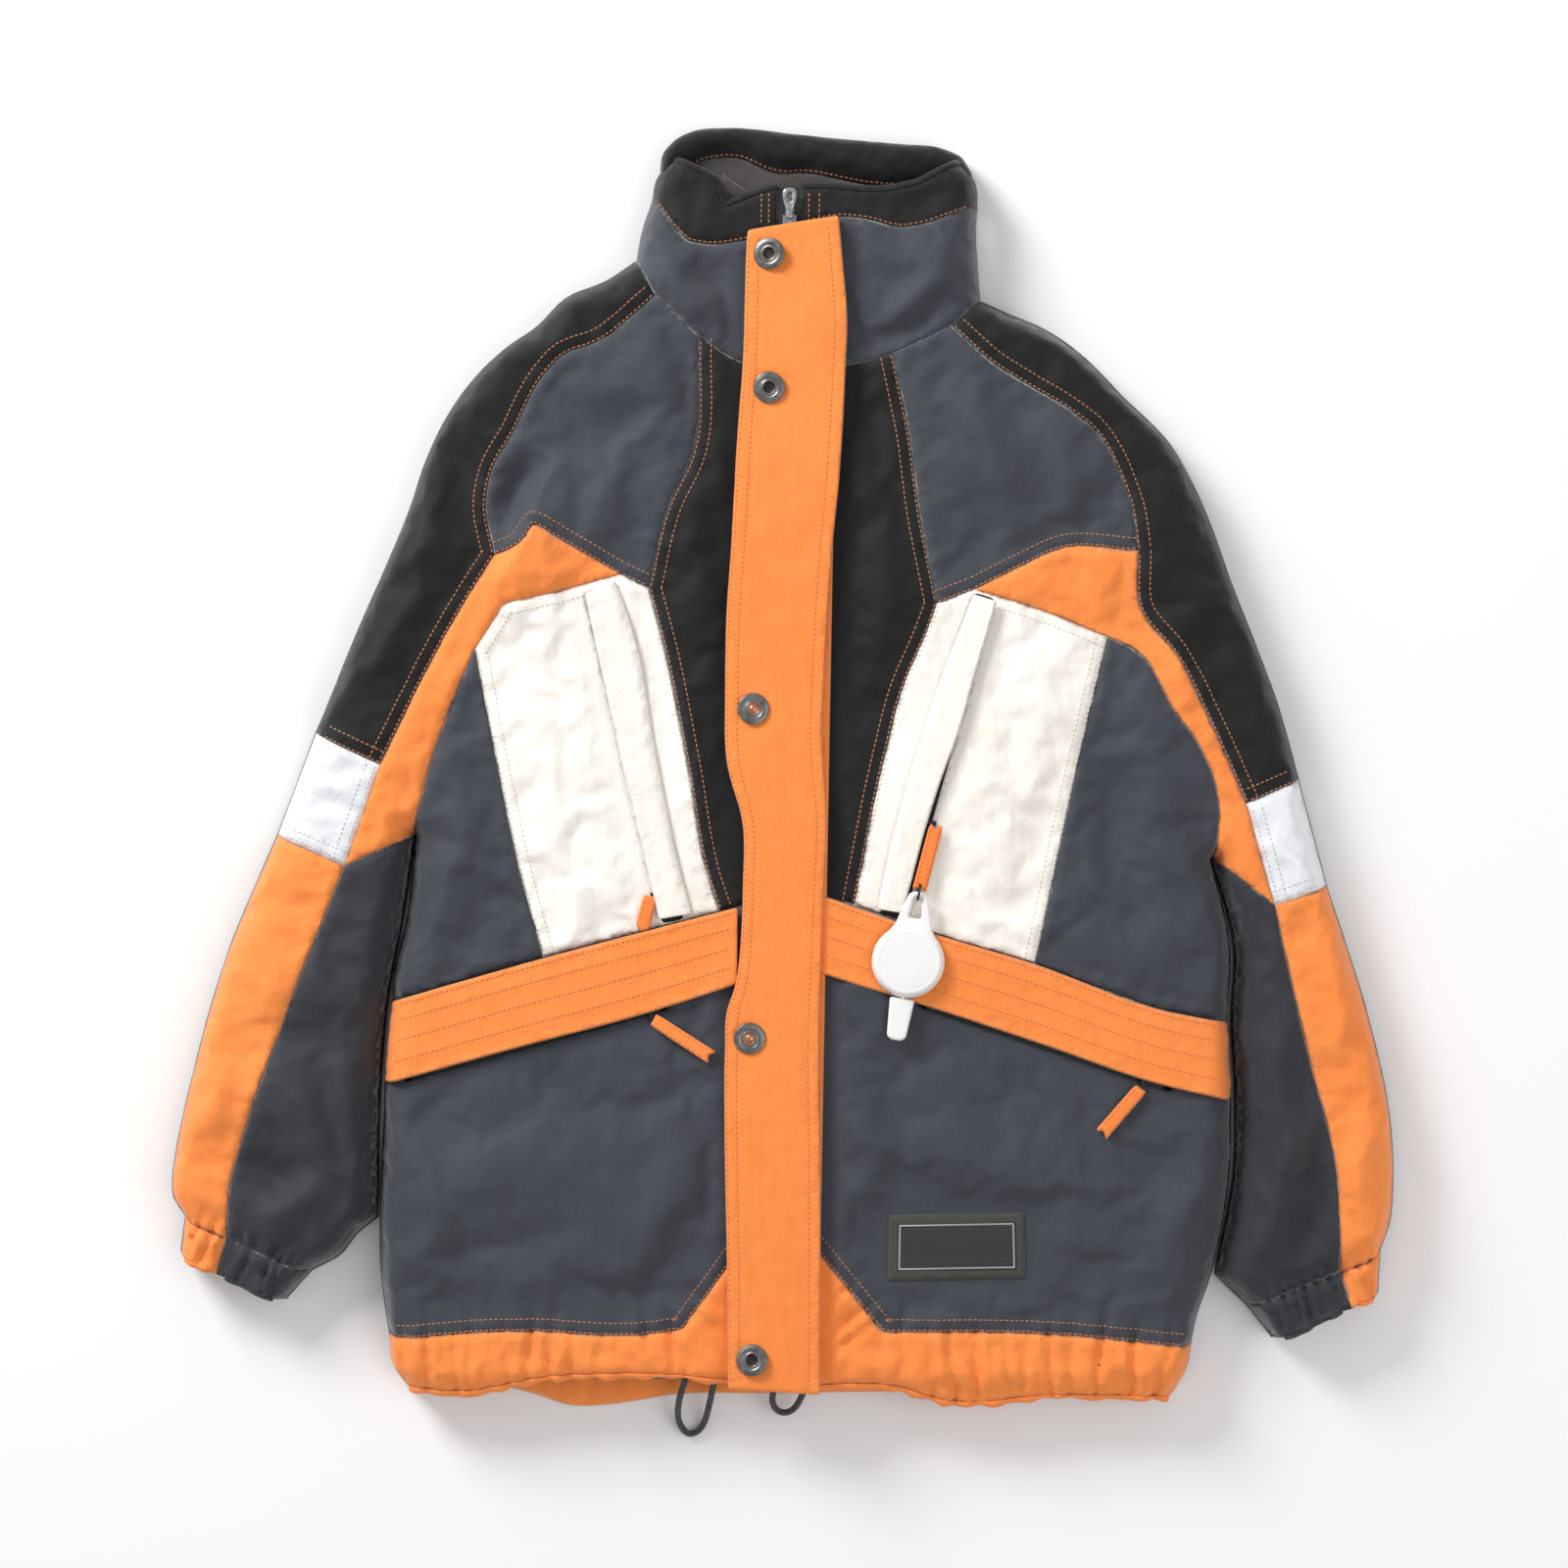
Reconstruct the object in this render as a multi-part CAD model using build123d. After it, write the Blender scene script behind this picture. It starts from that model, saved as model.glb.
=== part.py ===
"""Ski jacket lying flat on its back: shell panels, wadding, lining, zips, storm flap and pass reel.

Millimetres. +Z is up, out of the jacket's front; +Y points to the collar; +X is the wearer's left.
The origin is the middle of the jacket's outline at the surface that it lies on.
"""
from build123d import *
import math
import os

os.makedirs("parts", exist_ok=True)

# ---- driving dimensions ------------------------------------------------------------------------
SHELL = 1.5  # shell cloth with its seam allowances
LOFT = 8.0  # wadding in each layer
LINING = 1.0
CAVITY = 20.0  # room between the front and back linings
GAP = 0.3  # clearance between separate bodies

BACK_TOP = SHELL + LOFT + LINING
LINING_Z = BACK_TOP + CAVITY
WADDING_Z = LINING_Z + LINING
FRONT_Z = WADDING_Z + LOFT
FRONT_TOP = FRONT_Z + SHELL

COVER_Z = FRONT_TOP + 3.6  # underside of the belt bands and the chest welts
COVER_TOP = COVER_Z + 1.8
FLAP_Z = COVER_TOP + 0.4
FLAP_THICK = 3.5
FLAP_TOP = FLAP_Z + FLAP_THICK
HINGE_Z = FLAP_Z + FLAP_THICK / 2

TAPE_Z = FRONT_Z - 1.2  # zip tapes lie just under the shell
TAPE_THICK = 1.1
CHAIN_GAP = 0.8  # half the gap between the two tooth chains
CHAIN_EDGE = 3.0
CHAIN_LOW, CHAIN_HIGH = 37.2, 40.4
SLOT_HALF = 7.5  # half the slot that a zip leaves in the shell
SLIDER_HALF = 4.6
SLIDER_LENGTH = 14.0
COVER_INSET = 5.0  # how far a pocket zip runs inside the edge that covers it

SNAP_XY = [(-9, 344.5), (-9, 255), (-19.5, 39.5), (-22, -181.5), (-20.5, -397)]
SNAP_CAP_R = 10.5
CORD_R = 2.25

ZIP_HIGH, ZIP_LOW = (5.0, 391.0), (-5.0, -399.0)
FLAP_HINGE_HIGH, FLAP_HINGE_LOW = (40.0, 371.0), (24.0, -421.0)


def zip_x(y):
    """X of the front zip's centre line at height y."""
    share = (y - ZIP_LOW[1]) / (ZIP_HIGH[1] - ZIP_LOW[1])
    return ZIP_LOW[0] + share * (ZIP_HIGH[0] - ZIP_LOW[0])


def edge_at(side, y):
    """The front edge beside the zip: side -1 is the wearer's right."""
    return (zip_x(y) + side * SLOT_HALF, y)


# ---- seams: each is a line of points, shared by the panels on both sides of it --------------------
SEAMS = {
    # wearer's right
    "r_shoulder_edge": [(-100, 345), (-120, 332), (-148, 320), (-166, 302), (-190, 285), (-213, 262),
                        (-229, 239), (-242, 212), (-254, 177), (-289, 95), (-318, 24)],
    "r_neck_side": [(-86, 318), (-100, 345)],
    "r_neck_yoke": [(-56, 290), (-86, 318)],
    "r_neck_front": [edge_at(-1, 267), (-29, 274), (-56, 290)],
    "r_raglan": [(-86, 318), (-125, 287), (-148, 278), (-160, 266), (-182, 225), (-196, 200),
                 (-200, 180), (-194, 143.5)],
    "r_sleeve_front": [(-194, 143.5), (-219, 104), (-245, 55), (-271, 2)],
    "r_yoke_inner": [(-90, 121), (-76, 177), (-61, 209), (-56, 290)],
    "r_yoke_pocket": [(-109, 130), (-90, 121)],
    "r_yoke_chest": [(-194, 143.5), (-177, 150), (-167, 164), (-109, 130)],
    "r_pocket_top": [(-207, 80), (-187, 110), (-155, 117.5), (-109, 130)],
    "r_pocket_inner": [(-90, 121), (-79, 79), (-64, 4), (-49, -77), (-42, -97)],
    "r_pocket_outer": [(-161, -128), (-175, -77), (-194, 12), (-207, 80)],
    "r_gusset_inner": [(-207, 80), (-218, 55), (-237, 3), (-250, -46)],
    "r_gusset_lower": [(-250, -46), (-295, -66)],
    "r_patch_inner": [(-295, -66), (-271, 2)],
    "r_patch_top": [(-271, 2), (-318, 24)],
    "r_patch_outer": [(-318, 24), (-344, -45)],
    "r_patch_bottom": [(-344, -45), (-295, -66)],
    "r_body_edge_upper": [(-250, -46), (-256, -103), (-265, -143), (-266, -158)],
    "r_band_top": [(-266, -158), (-161, -128)],
    "r_band_pocket": [(-161, -128), (-131, -120), (-42, -97)],
    "r_band_front": [(-42, -97), edge_at(-1, -88)],
    "r_band_end": [(-266, -158), (-271, -214)],
    "r_body_edge_lower": [(-271, -214), (-272, -358), (-268, -385)],
    "r_hem_seam": [(-268, -385), (-175, -379), (-98, -382), (-68, -378.5), edge_at(-1, -301)],
    "r_hem_end": [(-268, -385), (-266, -407), (-259, -419)],
    "r_hem_bottom": [(-259, -419), (-212, -421), (-165, -412), (-79, -409.5), edge_at(-1, -416)],
    "r_sleeve_edge": [(-344, -45), (-378, -126), (-402, -209), (-413.5, -262), (-416, -281),
                      (-415, -293), (-407, -305)],
    "r_sleeve_split": [(-295, -66), (-325, -143), (-361, -241), (-371, -275), (-376, -318)],
    "r_cuff_outer": [(-407, -305), (-376, -318)],
    "r_cuff_inner": [(-376, -318), (-321, -342)],
    "r_cuff_end": [(-407, -305), (-410, -330), (-382.5, -342), (-339, -362), (-321, -342)],
    "r_sleeve_inner": [(-321, -342), (-300, -330), (-291, -318), (-276, -306), (-274, -214),
                       (-269, -158), (-259, -103), (-252.5, -48)],
    # wearer's left
    "l_shoulder_edge": [(351.5, -7.6), (342, 29), (308, 121), (279.5, 194), (265, 219.5), (232, 253),
                        (202, 283), (178.5, 299), (150, 311), (135, 318)],
    "l_neck_side": [(135, 318), (114, 298)],
    "l_neck_yoke": [(114, 298), (74, 279)],
    "l_neck_front": [(74, 279), (44, 271), edge_at(1, 267)],
    "l_raglan": [(239, 146), (233, 182), (221, 212), (212, 226), (196, 239), (165, 258), (140, 274),
                 (114, 298)],
    "l_sleeve_front": [(312.5, -24), (291, 25), (265, 76), (241, 108), (239, 146)],
    "l_yoke_inner": [(74, 279), (85, 226), (92, 173), (104, 110.5)],
    "l_yoke_pocket": [(104, 110.5), (129, 120)],
    "l_yoke_chest": [(129, 120), (161, 136), (188, 148), (239, 146)],
    "l_pocket_top": [(129, 120), (182, 103), (219, 88)],
    "l_pocket_inner": [(48.5, -92), (68, 4), (81.5, 55), (97, 91), (104, 110.5)],
    "l_pocket_outer": [(219, 88), (201, 12), (182, -76), (170, -132)],
    "l_gusset_inner": [(292, -62), (294, -21.5), (278, 19.5), (265, 37), (238, 79), (219, 88)],
    "l_gusset_lower": [(331.5, -92.6), (292, -62)],
    "l_patch_inner": [(312.5, -24), (331.5, -92.6)],
    "l_patch_top": [(351.5, -7.6), (312.5, -24)],
    "l_patch_outer": [(370.6, -79.5), (351.5, -7.6)],
    "l_patch_bottom": [(331.5, -92.6), (370.6, -79.5)],
    "l_body_edge_upper": [(303, -172), (304.6, -121), (292, -62)],
    "l_band_top": [(170, -132), (217.5, -150), (256, -163), (303, -172)],
    "l_band_pocket": [(48.5, -92), (97, -110), (170, -132)],
    "l_band_front": [edge_at(1, -80), (48.5, -92)],
    "l_band_end": [(305.6, -225), (303, -172)],
    "l_body_edge_lower": [(279, -391), (281, -378), (291, -347.5), (304.6, -274), (305.6, -225)],
    "l_hem_seam": [edge_at(1, -301), (68, -380), (145.5, -380), (198, -382.5), (279, -391)],
    "l_hem_end": [(268, -426), (276, -409), (279, -391)],
    "l_hem_bottom": [edge_at(1, -418), (79, -418.5), (105, -427), (186, -424), (268, -426)],
    "l_sleeve_edge": [(407.6, -328), (413.5, -311), (416, -284), (413.5, -235), (400, -173),
                      (370.6, -79.5)],
    "l_sleeve_split": [(331.5, -92.6), (353, -189), (371, -260), (377, -341)],
    "l_cuff_outer": [(377, -341), (407.6, -328)],
    "l_cuff_inner": [(316, -365), (377, -341)],
    "l_cuff_end": [(316, -365), (334, -388), (383.5, -364), (405.6, -358), (407.6, -328)],
    "l_sleeve_inner": [(294.5, -65), (307.5, -121), (306, -172), (308.5, -225), (307.5, -274),
                       (294.5, -345), (316, -365)],
    # collar
    "collar_right": [(-100, 345), (-95, 372), (-85, 408)],
    "collar_left": [(128, 412), (132, 384), (133, 345), (135, 318)],
    "collar_back_top": [(-85, 408), (-74, 428), (-58, 436), (-19, 436), (23, 431), (77, 426),
                        (109, 423), (128, 412)],
    "back_neck": [(135, 318), (100, 322), (-70, 328), (-100, 345)],
}


def outline(*names):
    """One closed face from seams joined end to end. A name that starts with - runs backwards."""
    points = []
    for name in names:
        line = SEAMS[name.lstrip("-")]
        for point in reversed(line) if name.startswith("-") else line:
            if not points or math.dist(points[-1], point) > 0.01:
                points.append(point)
    if math.dist(points[0], points[-1]) < 0.01:
        points.pop()
    return area(points)


def area(points):
    return Sketch() + Polygon(*points, align=None)


def plate(face, low, high):
    """The prism over a flat face between two heights."""
    return Part() + Pos(0, 0, low) * extrude(face, amount=high - low, dir=(0, 0, 1))


def along(start, end):
    """Unit vector from start to end, and the one to its left."""
    length = math.dist(start, end)
    dx, dy = (end[0] - start[0]) / length, (end[1] - start[1]) / length
    return (dx, dy), (-dy, dx)


def shift(point, direction, amount):
    return (point[0] + direction[0] * amount, point[1] + direction[1] * amount)


def strip(start, end, near, far):
    """A flat strip beside the line start-end, from near to far on its left side."""
    _, left = along(start, end)
    return area([shift(start, left, near), shift(end, left, near),
                 shift(end, left, far), shift(start, left, far)])


# ---- flat outlines ---------------------------------------------------------------------------------
PANELS = {
    "right_shoulder_panel": outline("r_shoulder_edge", "-r_patch_top", "-r_sleeve_front", "-r_raglan",
                                    "r_neck_side"),
    "left_shoulder_panel": outline("l_shoulder_edge", "l_neck_side", "-l_raglan", "-l_sleeve_front",
                                   "-l_patch_top"),
    "right_yoke": outline("r_raglan", "r_yoke_chest", "r_yoke_pocket", "r_yoke_inner", "r_neck_yoke"),
    "left_yoke": outline("l_raglan", "l_neck_yoke", "l_yoke_inner", "l_yoke_pocket", "l_yoke_chest"),
    "right_pocket_panel": outline("r_pocket_inner", "-r_band_pocket", "r_pocket_outer", "r_pocket_top",
                                  "r_yoke_pocket"),
    "left_pocket_panel": outline("l_pocket_inner", "l_yoke_pocket", "l_pocket_top", "l_pocket_outer",
                                 "-l_band_pocket"),
    "right_chest": outline("r_sleeve_front", "-r_patch_inner", "-r_gusset_lower", "-r_gusset_inner",
                           "r_pocket_top", "-r_yoke_chest"),
    "left_chest": outline("l_sleeve_front", "-l_yoke_chest", "l_pocket_top", "-l_gusset_inner",
                          "-l_gusset_lower", "-l_patch_inner"),
    "right_centre": outline("r_yoke_inner", "-r_neck_front", "-r_band_front", "-r_pocket_inner"),
    "left_centre": outline("l_pocket_inner", "-l_yoke_inner", "l_neck_front", "l_band_front"),
    "right_side": outline("r_gusset_inner", "r_body_edge_upper", "r_band_top", "r_pocket_outer"),
    "left_side": outline("l_gusset_inner", "l_pocket_outer", "l_band_top", "l_body_edge_upper"),
    "right_lower": outline("r_band_top", "r_band_pocket", "r_band_front", "-r_hem_seam",
                           "-r_body_edge_lower", "-r_band_end"),
    "left_lower": outline("l_band_front", "l_band_pocket", "l_band_top", "-l_band_end",
                          "-l_body_edge_lower", "-l_hem_seam"),
    "right_hem": outline("r_hem_seam", "-r_hem_bottom", "-r_hem_end"),
    "left_hem": outline("l_hem_seam", "-l_hem_end", "-l_hem_bottom"),
    "right_patch": outline("r_patch_outer", "r_patch_bottom", "r_patch_inner", "r_patch_top"),
    "left_patch": outline("l_patch_outer", "l_patch_top", "l_patch_inner", "l_patch_bottom"),
    "right_outer": outline("r_patch_bottom", "r_sleeve_split", "-r_cuff_outer", "-r_sleeve_edge"),
    "left_outer": outline("l_patch_bottom", "-l_sleeve_edge", "-l_cuff_outer", "-l_sleeve_split"),
    "right_under": outline("r_sleeve_split", "r_cuff_inner", "r_sleeve_inner", "r_gusset_lower"),
    "left_under": outline("l_sleeve_split", "-l_cuff_inner", "-l_sleeve_inner", "-l_gusset_lower"),
    "right_cuff": outline("r_cuff_end", "-r_cuff_inner", "-r_cuff_outer"),
    "left_cuff": outline("l_cuff_end", "-l_cuff_outer", "-l_cuff_inner"),
    "collar": outline("collar_right", "collar_back_top", "collar_left", "back_neck"),
}

COLLAR_FRONT_TOP = [(-85, 406), (-40, 398), (5, 392), (68, 390), (105, 402), (128, 410)]
COLLAR_BAND_SEAM = [(-97, 376), (-63, 354), (-26, 356), (39, 370), (78, 364), (133, 378)]
COLLAR_NECK = (SEAMS["r_neck_side"][::-1] + SEAMS["r_neck_yoke"][::-1] + SEAMS["r_neck_front"][::-1]
               + SEAMS["l_neck_front"][::-1] + SEAMS["l_neck_yoke"][::-1] + SEAMS["l_neck_side"][::-1])

torso_flat = outline(
    "r_shoulder_edge", "-r_patch_top", "-r_patch_inner", "-r_gusset_lower", "r_body_edge_upper",
    "r_band_end", "r_body_edge_lower", "r_hem_end", "r_hem_bottom", "l_hem_bottom", "l_hem_end",
    "l_body_edge_lower", "l_band_end", "l_body_edge_upper", "-l_gusset_lower", "-l_patch_inner",
    "-l_patch_top", "l_shoulder_edge", "back_neck",
)
sleeve_flat = {
    "right": PANELS["right_patch"] + PANELS["right_outer"] + PANELS["right_under"],
    "left": PANELS["left_patch"] + PANELS["left_outer"] + PANELS["left_under"],
}


def ribbon(points, near, far):
    """The flat band between two distances to the left of a line of points, with mitred corners."""
    lefts = [along(a, b)[1] for a, b in zip(points, points[1:])]
    lefts = [lefts[0]] + lefts + [lefts[-1]]
    sides = []
    for distance in (near, far):
        line = []
        for point, before, after in zip(points, lefts, lefts[1:]):
            scale = distance / (1 + before[0] * after[0] + before[1] * after[1])
            line.append((point[0] + scale * (before[0] + after[0]),
                         point[1] + scale * (before[1] + after[1])))
        sides.append(line)
    return area(sides[0] + sides[1][::-1])


def chain(*names):
    """The points of several seams, one after the other."""
    points = []
    for name in names:
        line = SEAMS[name.lstrip("-")]
        for point in reversed(line) if name.startswith("-") else line:
            if not points or math.dist(points[-1], point) > 0.01:
                points.append(point)
    return points


# The jacket's closed edges, each with the side (+1 is left) that the cloth lies on.
EDGES = [
    (chain("-collar_right", "r_shoulder_edge", "r_patch_outer", "r_sleeve_edge") + [(-410, -330)], 1),
    (chain("collar_left", "-l_shoulder_edge", "-l_patch_outer", "-l_sleeve_edge") + [(405.6, -358)], -1),
    ([(-339, -362)] + SEAMS["r_sleeve_inner"], 1),
    ([(334, -388)] + SEAMS["l_sleeve_inner"][::-1], -1),
    (chain("r_body_edge_upper", "r_band_end", "r_body_edge_lower", "r_hem_end"), 1),
    (chain("-l_body_edge_upper", "-l_band_end", "-l_body_edge_lower", "-l_hem_end"), -1),
]


def walls(near, far):
    """Flat bands beside every closed edge, between two depths inside it."""
    bands = Sketch()
    for points, side in EDGES:
        bands += ribbon(points, side * near, side * far)
    return bands


OUTSIDE = -0.5
shell_wall = walls(OUTSIDE, SHELL)
wadding_wall = walls(SHELL, SHELL + LOFT)
lining_wall = walls(SHELL + LOFT, BACK_TOP)
cuff_wall = walls(OUTSIDE, 3.0)
wadding_edge = walls(OUTSIDE, SHELL + LOFT)


# ---- zips ------------------------------------------------------------------------------------------
class Zip:
    """A zip between two points. cover is +1 or -1 for the side of the line that a cloth edge covers,
    0 for none. at is where its slider rests, from the start."""

    def __init__(self, start, end, at, cover, tape, pull_to=None, pull_width=9.0):
        self.direction, self.left = along(start, end)
        self.start = shift(start, self.left, cover * COVER_INSET)
        self.end = shift(end, self.left, cover * COVER_INSET)
        self.at, self.cover, self.tape = at, cover, tape
        self.pull_to, self.pull_width = pull_to, pull_width

    def slot(self, half):
        run = SLIDER_LENGTH / 2
        start = shift(self.start, self.direction, -run)
        end = shift(self.end, self.direction, run)
        return strip(start, end, -half, half)

    def tapes(self):
        return [plate(strip(self.start, self.end, side * (CHAIN_EDGE + 0.1), side * self.tape),
                      TAPE_Z, TAPE_Z + TAPE_THICK) for side in (-1, 1)]

    def chains(self):
        return [plate(strip(self.start, self.end, side * CHAIN_GAP, side * CHAIN_EDGE),
                      CHAIN_LOW, CHAIN_HIGH) for side in (-1, 1)]

    def rest(self):
        return shift(self.start, self.direction, self.at)

    def hinge(self):
        """The point that the pull turns about, outside the covering edge."""
        return shift(self.rest(), self.left, -self.cover * (COVER_INSET + self.pull_width / 2 + 1.2))

    def slider(self):
        """Two plates with side lips, joined by a blade that parts the chains, and a bridge on top."""
        def block(low, high, near, far, length=SLIDER_LENGTH, ahead=0.0):
            centre = shift(self.rest(), self.direction, ahead)
            a = shift(centre, self.direction, -length / 2)
            b = shift(centre, self.direction, length / 2)
            return plate(strip(a, b, near, far), low, high)

        top, bottom = CHAIN_HIGH + 0.4, CHAIN_LOW - 0.4
        body = block(top, top + 1.3, -SLIDER_HALF, SLIDER_HALF)
        body += block(bottom - 1.3, bottom, -SLIDER_HALF, SLIDER_HALF)
        body += block(bottom, top, -CHAIN_GAP + GAP, CHAIN_GAP - GAP, length=5)
        for side in (-1, 1):
            lip = (side * (CHAIN_EDGE + 0.6), side * SLIDER_HALF)
            body += block(TAPE_Z + TAPE_THICK + GAP, top, *lip)
            body += block(bottom, TAPE_Z - GAP, *lip)
        body += block(top + 1.3, BRIDGE_TOP, -1.6, 1.6, length=8)
        if self.cover:
            reach = -self.cover * (COVER_INSET + self.pull_width / 2 + 1.2)
            body += block(BRIDGE_TOP - 0.9, BRIDGE_TOP, 0, reach, length=3)
        return body

    def pull(self, length, low, high, width):
        """A sewn tab that lies from the hinge towards pull_to."""
        direction, _ = along(self.hinge(), self.pull_to)
        end = shift(self.hinge(), direction, length)
        return plate(strip(self.hinge(), end, -width / 2, width / 2), low, high)


BRIDGE_TOP = COVER_Z - 0.4
front_zip = Zip(ZIP_LOW, ZIP_HIGH, 764.0, 0, 16.0)
chest_right = Zip((-80, -98), (-129, 110), 14.0, -1, 11.0, (-94, -108))
chest_left = Zip((81, -96), (139, 108), 62.0, 1, 11.0, (91.5, -84))
hand_right = Zip((-83, -162), (-250, -208), 6.0, -1, 11.0, (-47, -195))
hand_left = Zip((97, -160.5), (256, -214), 154.0, 1, 11.0, (214, -247))
POCKETS = {"chest_right": chest_right, "chest_left": chest_left,
           "hand_right": hand_right, "hand_left": hand_left}

front_slot = front_zip.slot(SLOT_HALF)
front_slot_wide = strip(ZIP_LOW, (ZIP_HIGH[0], ZIP_HIGH[1] + 40), -18, 18)
front_slot_wide += strip((ZIP_LOW[0], ZIP_LOW[1] - 40), ZIP_LOW, -18, 18)
pocket_slots, tape_slots = Sketch(), Sketch()
for pocket in POCKETS.values():
    pocket_slots += pocket.slot(SLOT_HALF)
    tape_slots += pocket.slot(pocket.tape + GAP)

nodes = {}


def add(name, *solids):
    nodes[name] = list(solids)


# ---- front shell: a sheet on top and, at the outline, a wall down to the back ----------------------
def front_panel(flat, low=SHELL):
    panel = plate(flat - pocket_slots, FRONT_Z, FRONT_TOP)
    wall = shell_wall & flat
    if wall.area > 1:
        panel += plate(wall, low, FRONT_Z)
    return panel


for name in ("right_pocket_panel", "left_pocket_panel"):
    add(name, front_panel(PANELS[name]))
add("yokes", *[front_panel(PANELS[side + "_yoke"]) for side in ("right", "left")])
for name in ("right_shoulder_panel", "left_shoulder_panel"):
    add(name, front_panel(PANELS[name]) + plate(PANELS[name], 0, SHELL))
add("chest_panels", *[front_panel(PANELS[side + "_chest"]) for side in ("right", "left")])
add("centre_front_panels", *[front_panel(PANELS[side + "_centre"]) for side in ("right", "left")])
add("side_panels", *[front_panel(PANELS[side + "_side"]) for side in ("right", "left")])
add("lower_front_panels", *[front_panel(PANELS[side + "_lower"]) for side in ("right", "left")])

# The hem is a tunnel with no wadding: its shell, and a facing that the drawcord runs above.
HEM_FACING = 1.2
HEM_LOW = 33.0
BACK_HEM_TOP = 8.0


FACING_REACH = area([(-222, -300), (220, -300), (220, -440), (-222, -440)])


def hem_band(flat):
    band = plate(flat, FRONT_Z, FRONT_TOP)
    band += plate(flat & FACING_REACH, HEM_LOW, HEM_LOW + HEM_FACING)
    return band + plate(shell_wall & flat, SHELL, FRONT_Z)


add("front_hem_bands", hem_band(PANELS["right_hem"]), hem_band(PANELS["left_hem"]))

# ---- back shell ---------------------------------------------------------------------------------
BACK_BELT = (-155.0, -210.0)
BACK_HEM_SEAM = -388.0
BACK_HEM_EDGE = [(-259, -419), (-201, -421), (-145, -436), (-122, -436), (-77, -429), (54, -427),
                 (268, -426)]


def between(high, low):
    return area([(-430, low), (430, low), (430, high), (-430, high)])


shoulders = PANELS["right_shoulder_panel"] + PANELS["left_shoulder_panel"]
back_flat = torso_flat - shoulders
back_hem_flat = back_flat & between(BACK_HEM_SEAM, -440)
back_hem_flat += area(BACK_HEM_EDGE + [(268, -405), (-259, -405)])
add("back_panel", plate(back_flat & between(440, BACK_BELT[0]), 0, SHELL))
add("back_belt_band", plate(back_flat & between(*BACK_BELT), 0, SHELL))
add("back_lower_panel", plate(back_flat & between(BACK_BELT[1], BACK_HEM_SEAM), 0, SHELL))
back_hem_inner = (back_hem_flat & FACING_REACH) - shell_wall
add("back_hem_band",
    plate(back_hem_flat, 0, SHELL) + plate(back_hem_inner, BACK_HEM_TOP - HEM_FACING, BACK_HEM_TOP))

# ---- belt bands and chest welts: raised edges that cover the pocket zips ---------------------------
BAND_LINES = {
    "right": ([(-266, -158), (-131, -120), (-44, -97.5)], [(-44, -150), (-91, -165), (-271, -214)]),
    "left": ([(36, -88.5), (97, -110), (170, -132), (256, -163), (303, -172)],
             [(305.6, -225), (246.5, -211), (111, -165), (36, -142)]),
}
BAND_ROOT = 26.0
WELTS = {"right": ((-131, 119), (-79, -100), 18.0), "left": ((81, -96), (140, 112), 17.0)}


def belt_band(side):
    top, bottom = BAND_LINES[side]
    cover = plate(area(top + bottom), COVER_Z, COVER_TOP)
    lowered = [(x, y - BAND_ROOT) for x, y in reversed(top)]
    return cover + plate(area(top + lowered), FRONT_TOP, COVER_Z)


def chest_welt(side):
    start, end, width = WELTS[side]
    cover = plate(strip(start, end, 0, width), COVER_Z, COVER_TOP)
    return cover + plate(strip(start, end, width - 5, width), FRONT_TOP, COVER_Z)


add("front_belt_bands", belt_band("right"), belt_band("left"))
add("chest_welts", chest_welt("right"), chest_welt("left"))

# ---- wadding, pocket bags and lining -------------------------------------------------------------
BAG_THICK = 3.0
BAGS = [
    area([(-84, -100), (-132, 108), (-188, 96), (-168, -100)]),
    area([(84, -98), (140, 106), (200, 84), (174, -100)]),
    area([(-92, -168), (-246, -210), (-246, -340), (-100, -340)]),
    area([(100, -168), (258, -216), (262, -345), (110, -345)]),
]
add("pocket_bags", *[plate(bag, WADDING_Z, WADDING_Z + BAG_THICK) for bag in BAGS])

bag_room = Sketch()
for bag in BAGS:
    bag_room += bag
body_flat = torso_flat - between(BACK_HEM_SEAM, -440)
front_flat = body_flat - outline("back_neck", "-r_neck_side", "-r_neck_yoke", "-r_neck_front",
                                 "-l_neck_front", "-l_neck_yoke", "-l_neck_side")
front_flat -= PANELS["right_hem"] + PANELS["left_hem"]
add("back_wadding", plate(body_flat - shell_wall, SHELL, SHELL + LOFT))
front_wadding = plate(front_flat - shell_wall - front_slot_wide - tape_slots, WADDING_Z, FRONT_Z)
front_wadding -= plate(bag_room, WADDING_Z, WADDING_Z + BAG_THICK)
front_wadding += plate(wadding_wall & front_flat, SHELL + LOFT, WADDING_Z)
add("front_wadding", *front_wadding.solids())
lining = plate(body_flat - wadding_edge, SHELL + LOFT, BACK_TOP)
lining += plate((front_flat - wadding_edge) - front_slot_wide, LINING_Z, WADDING_Z)
lining += plate(lining_wall & front_flat, BACK_TOP, LINING_Z)
add("body_lining", *lining.solids())

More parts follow.
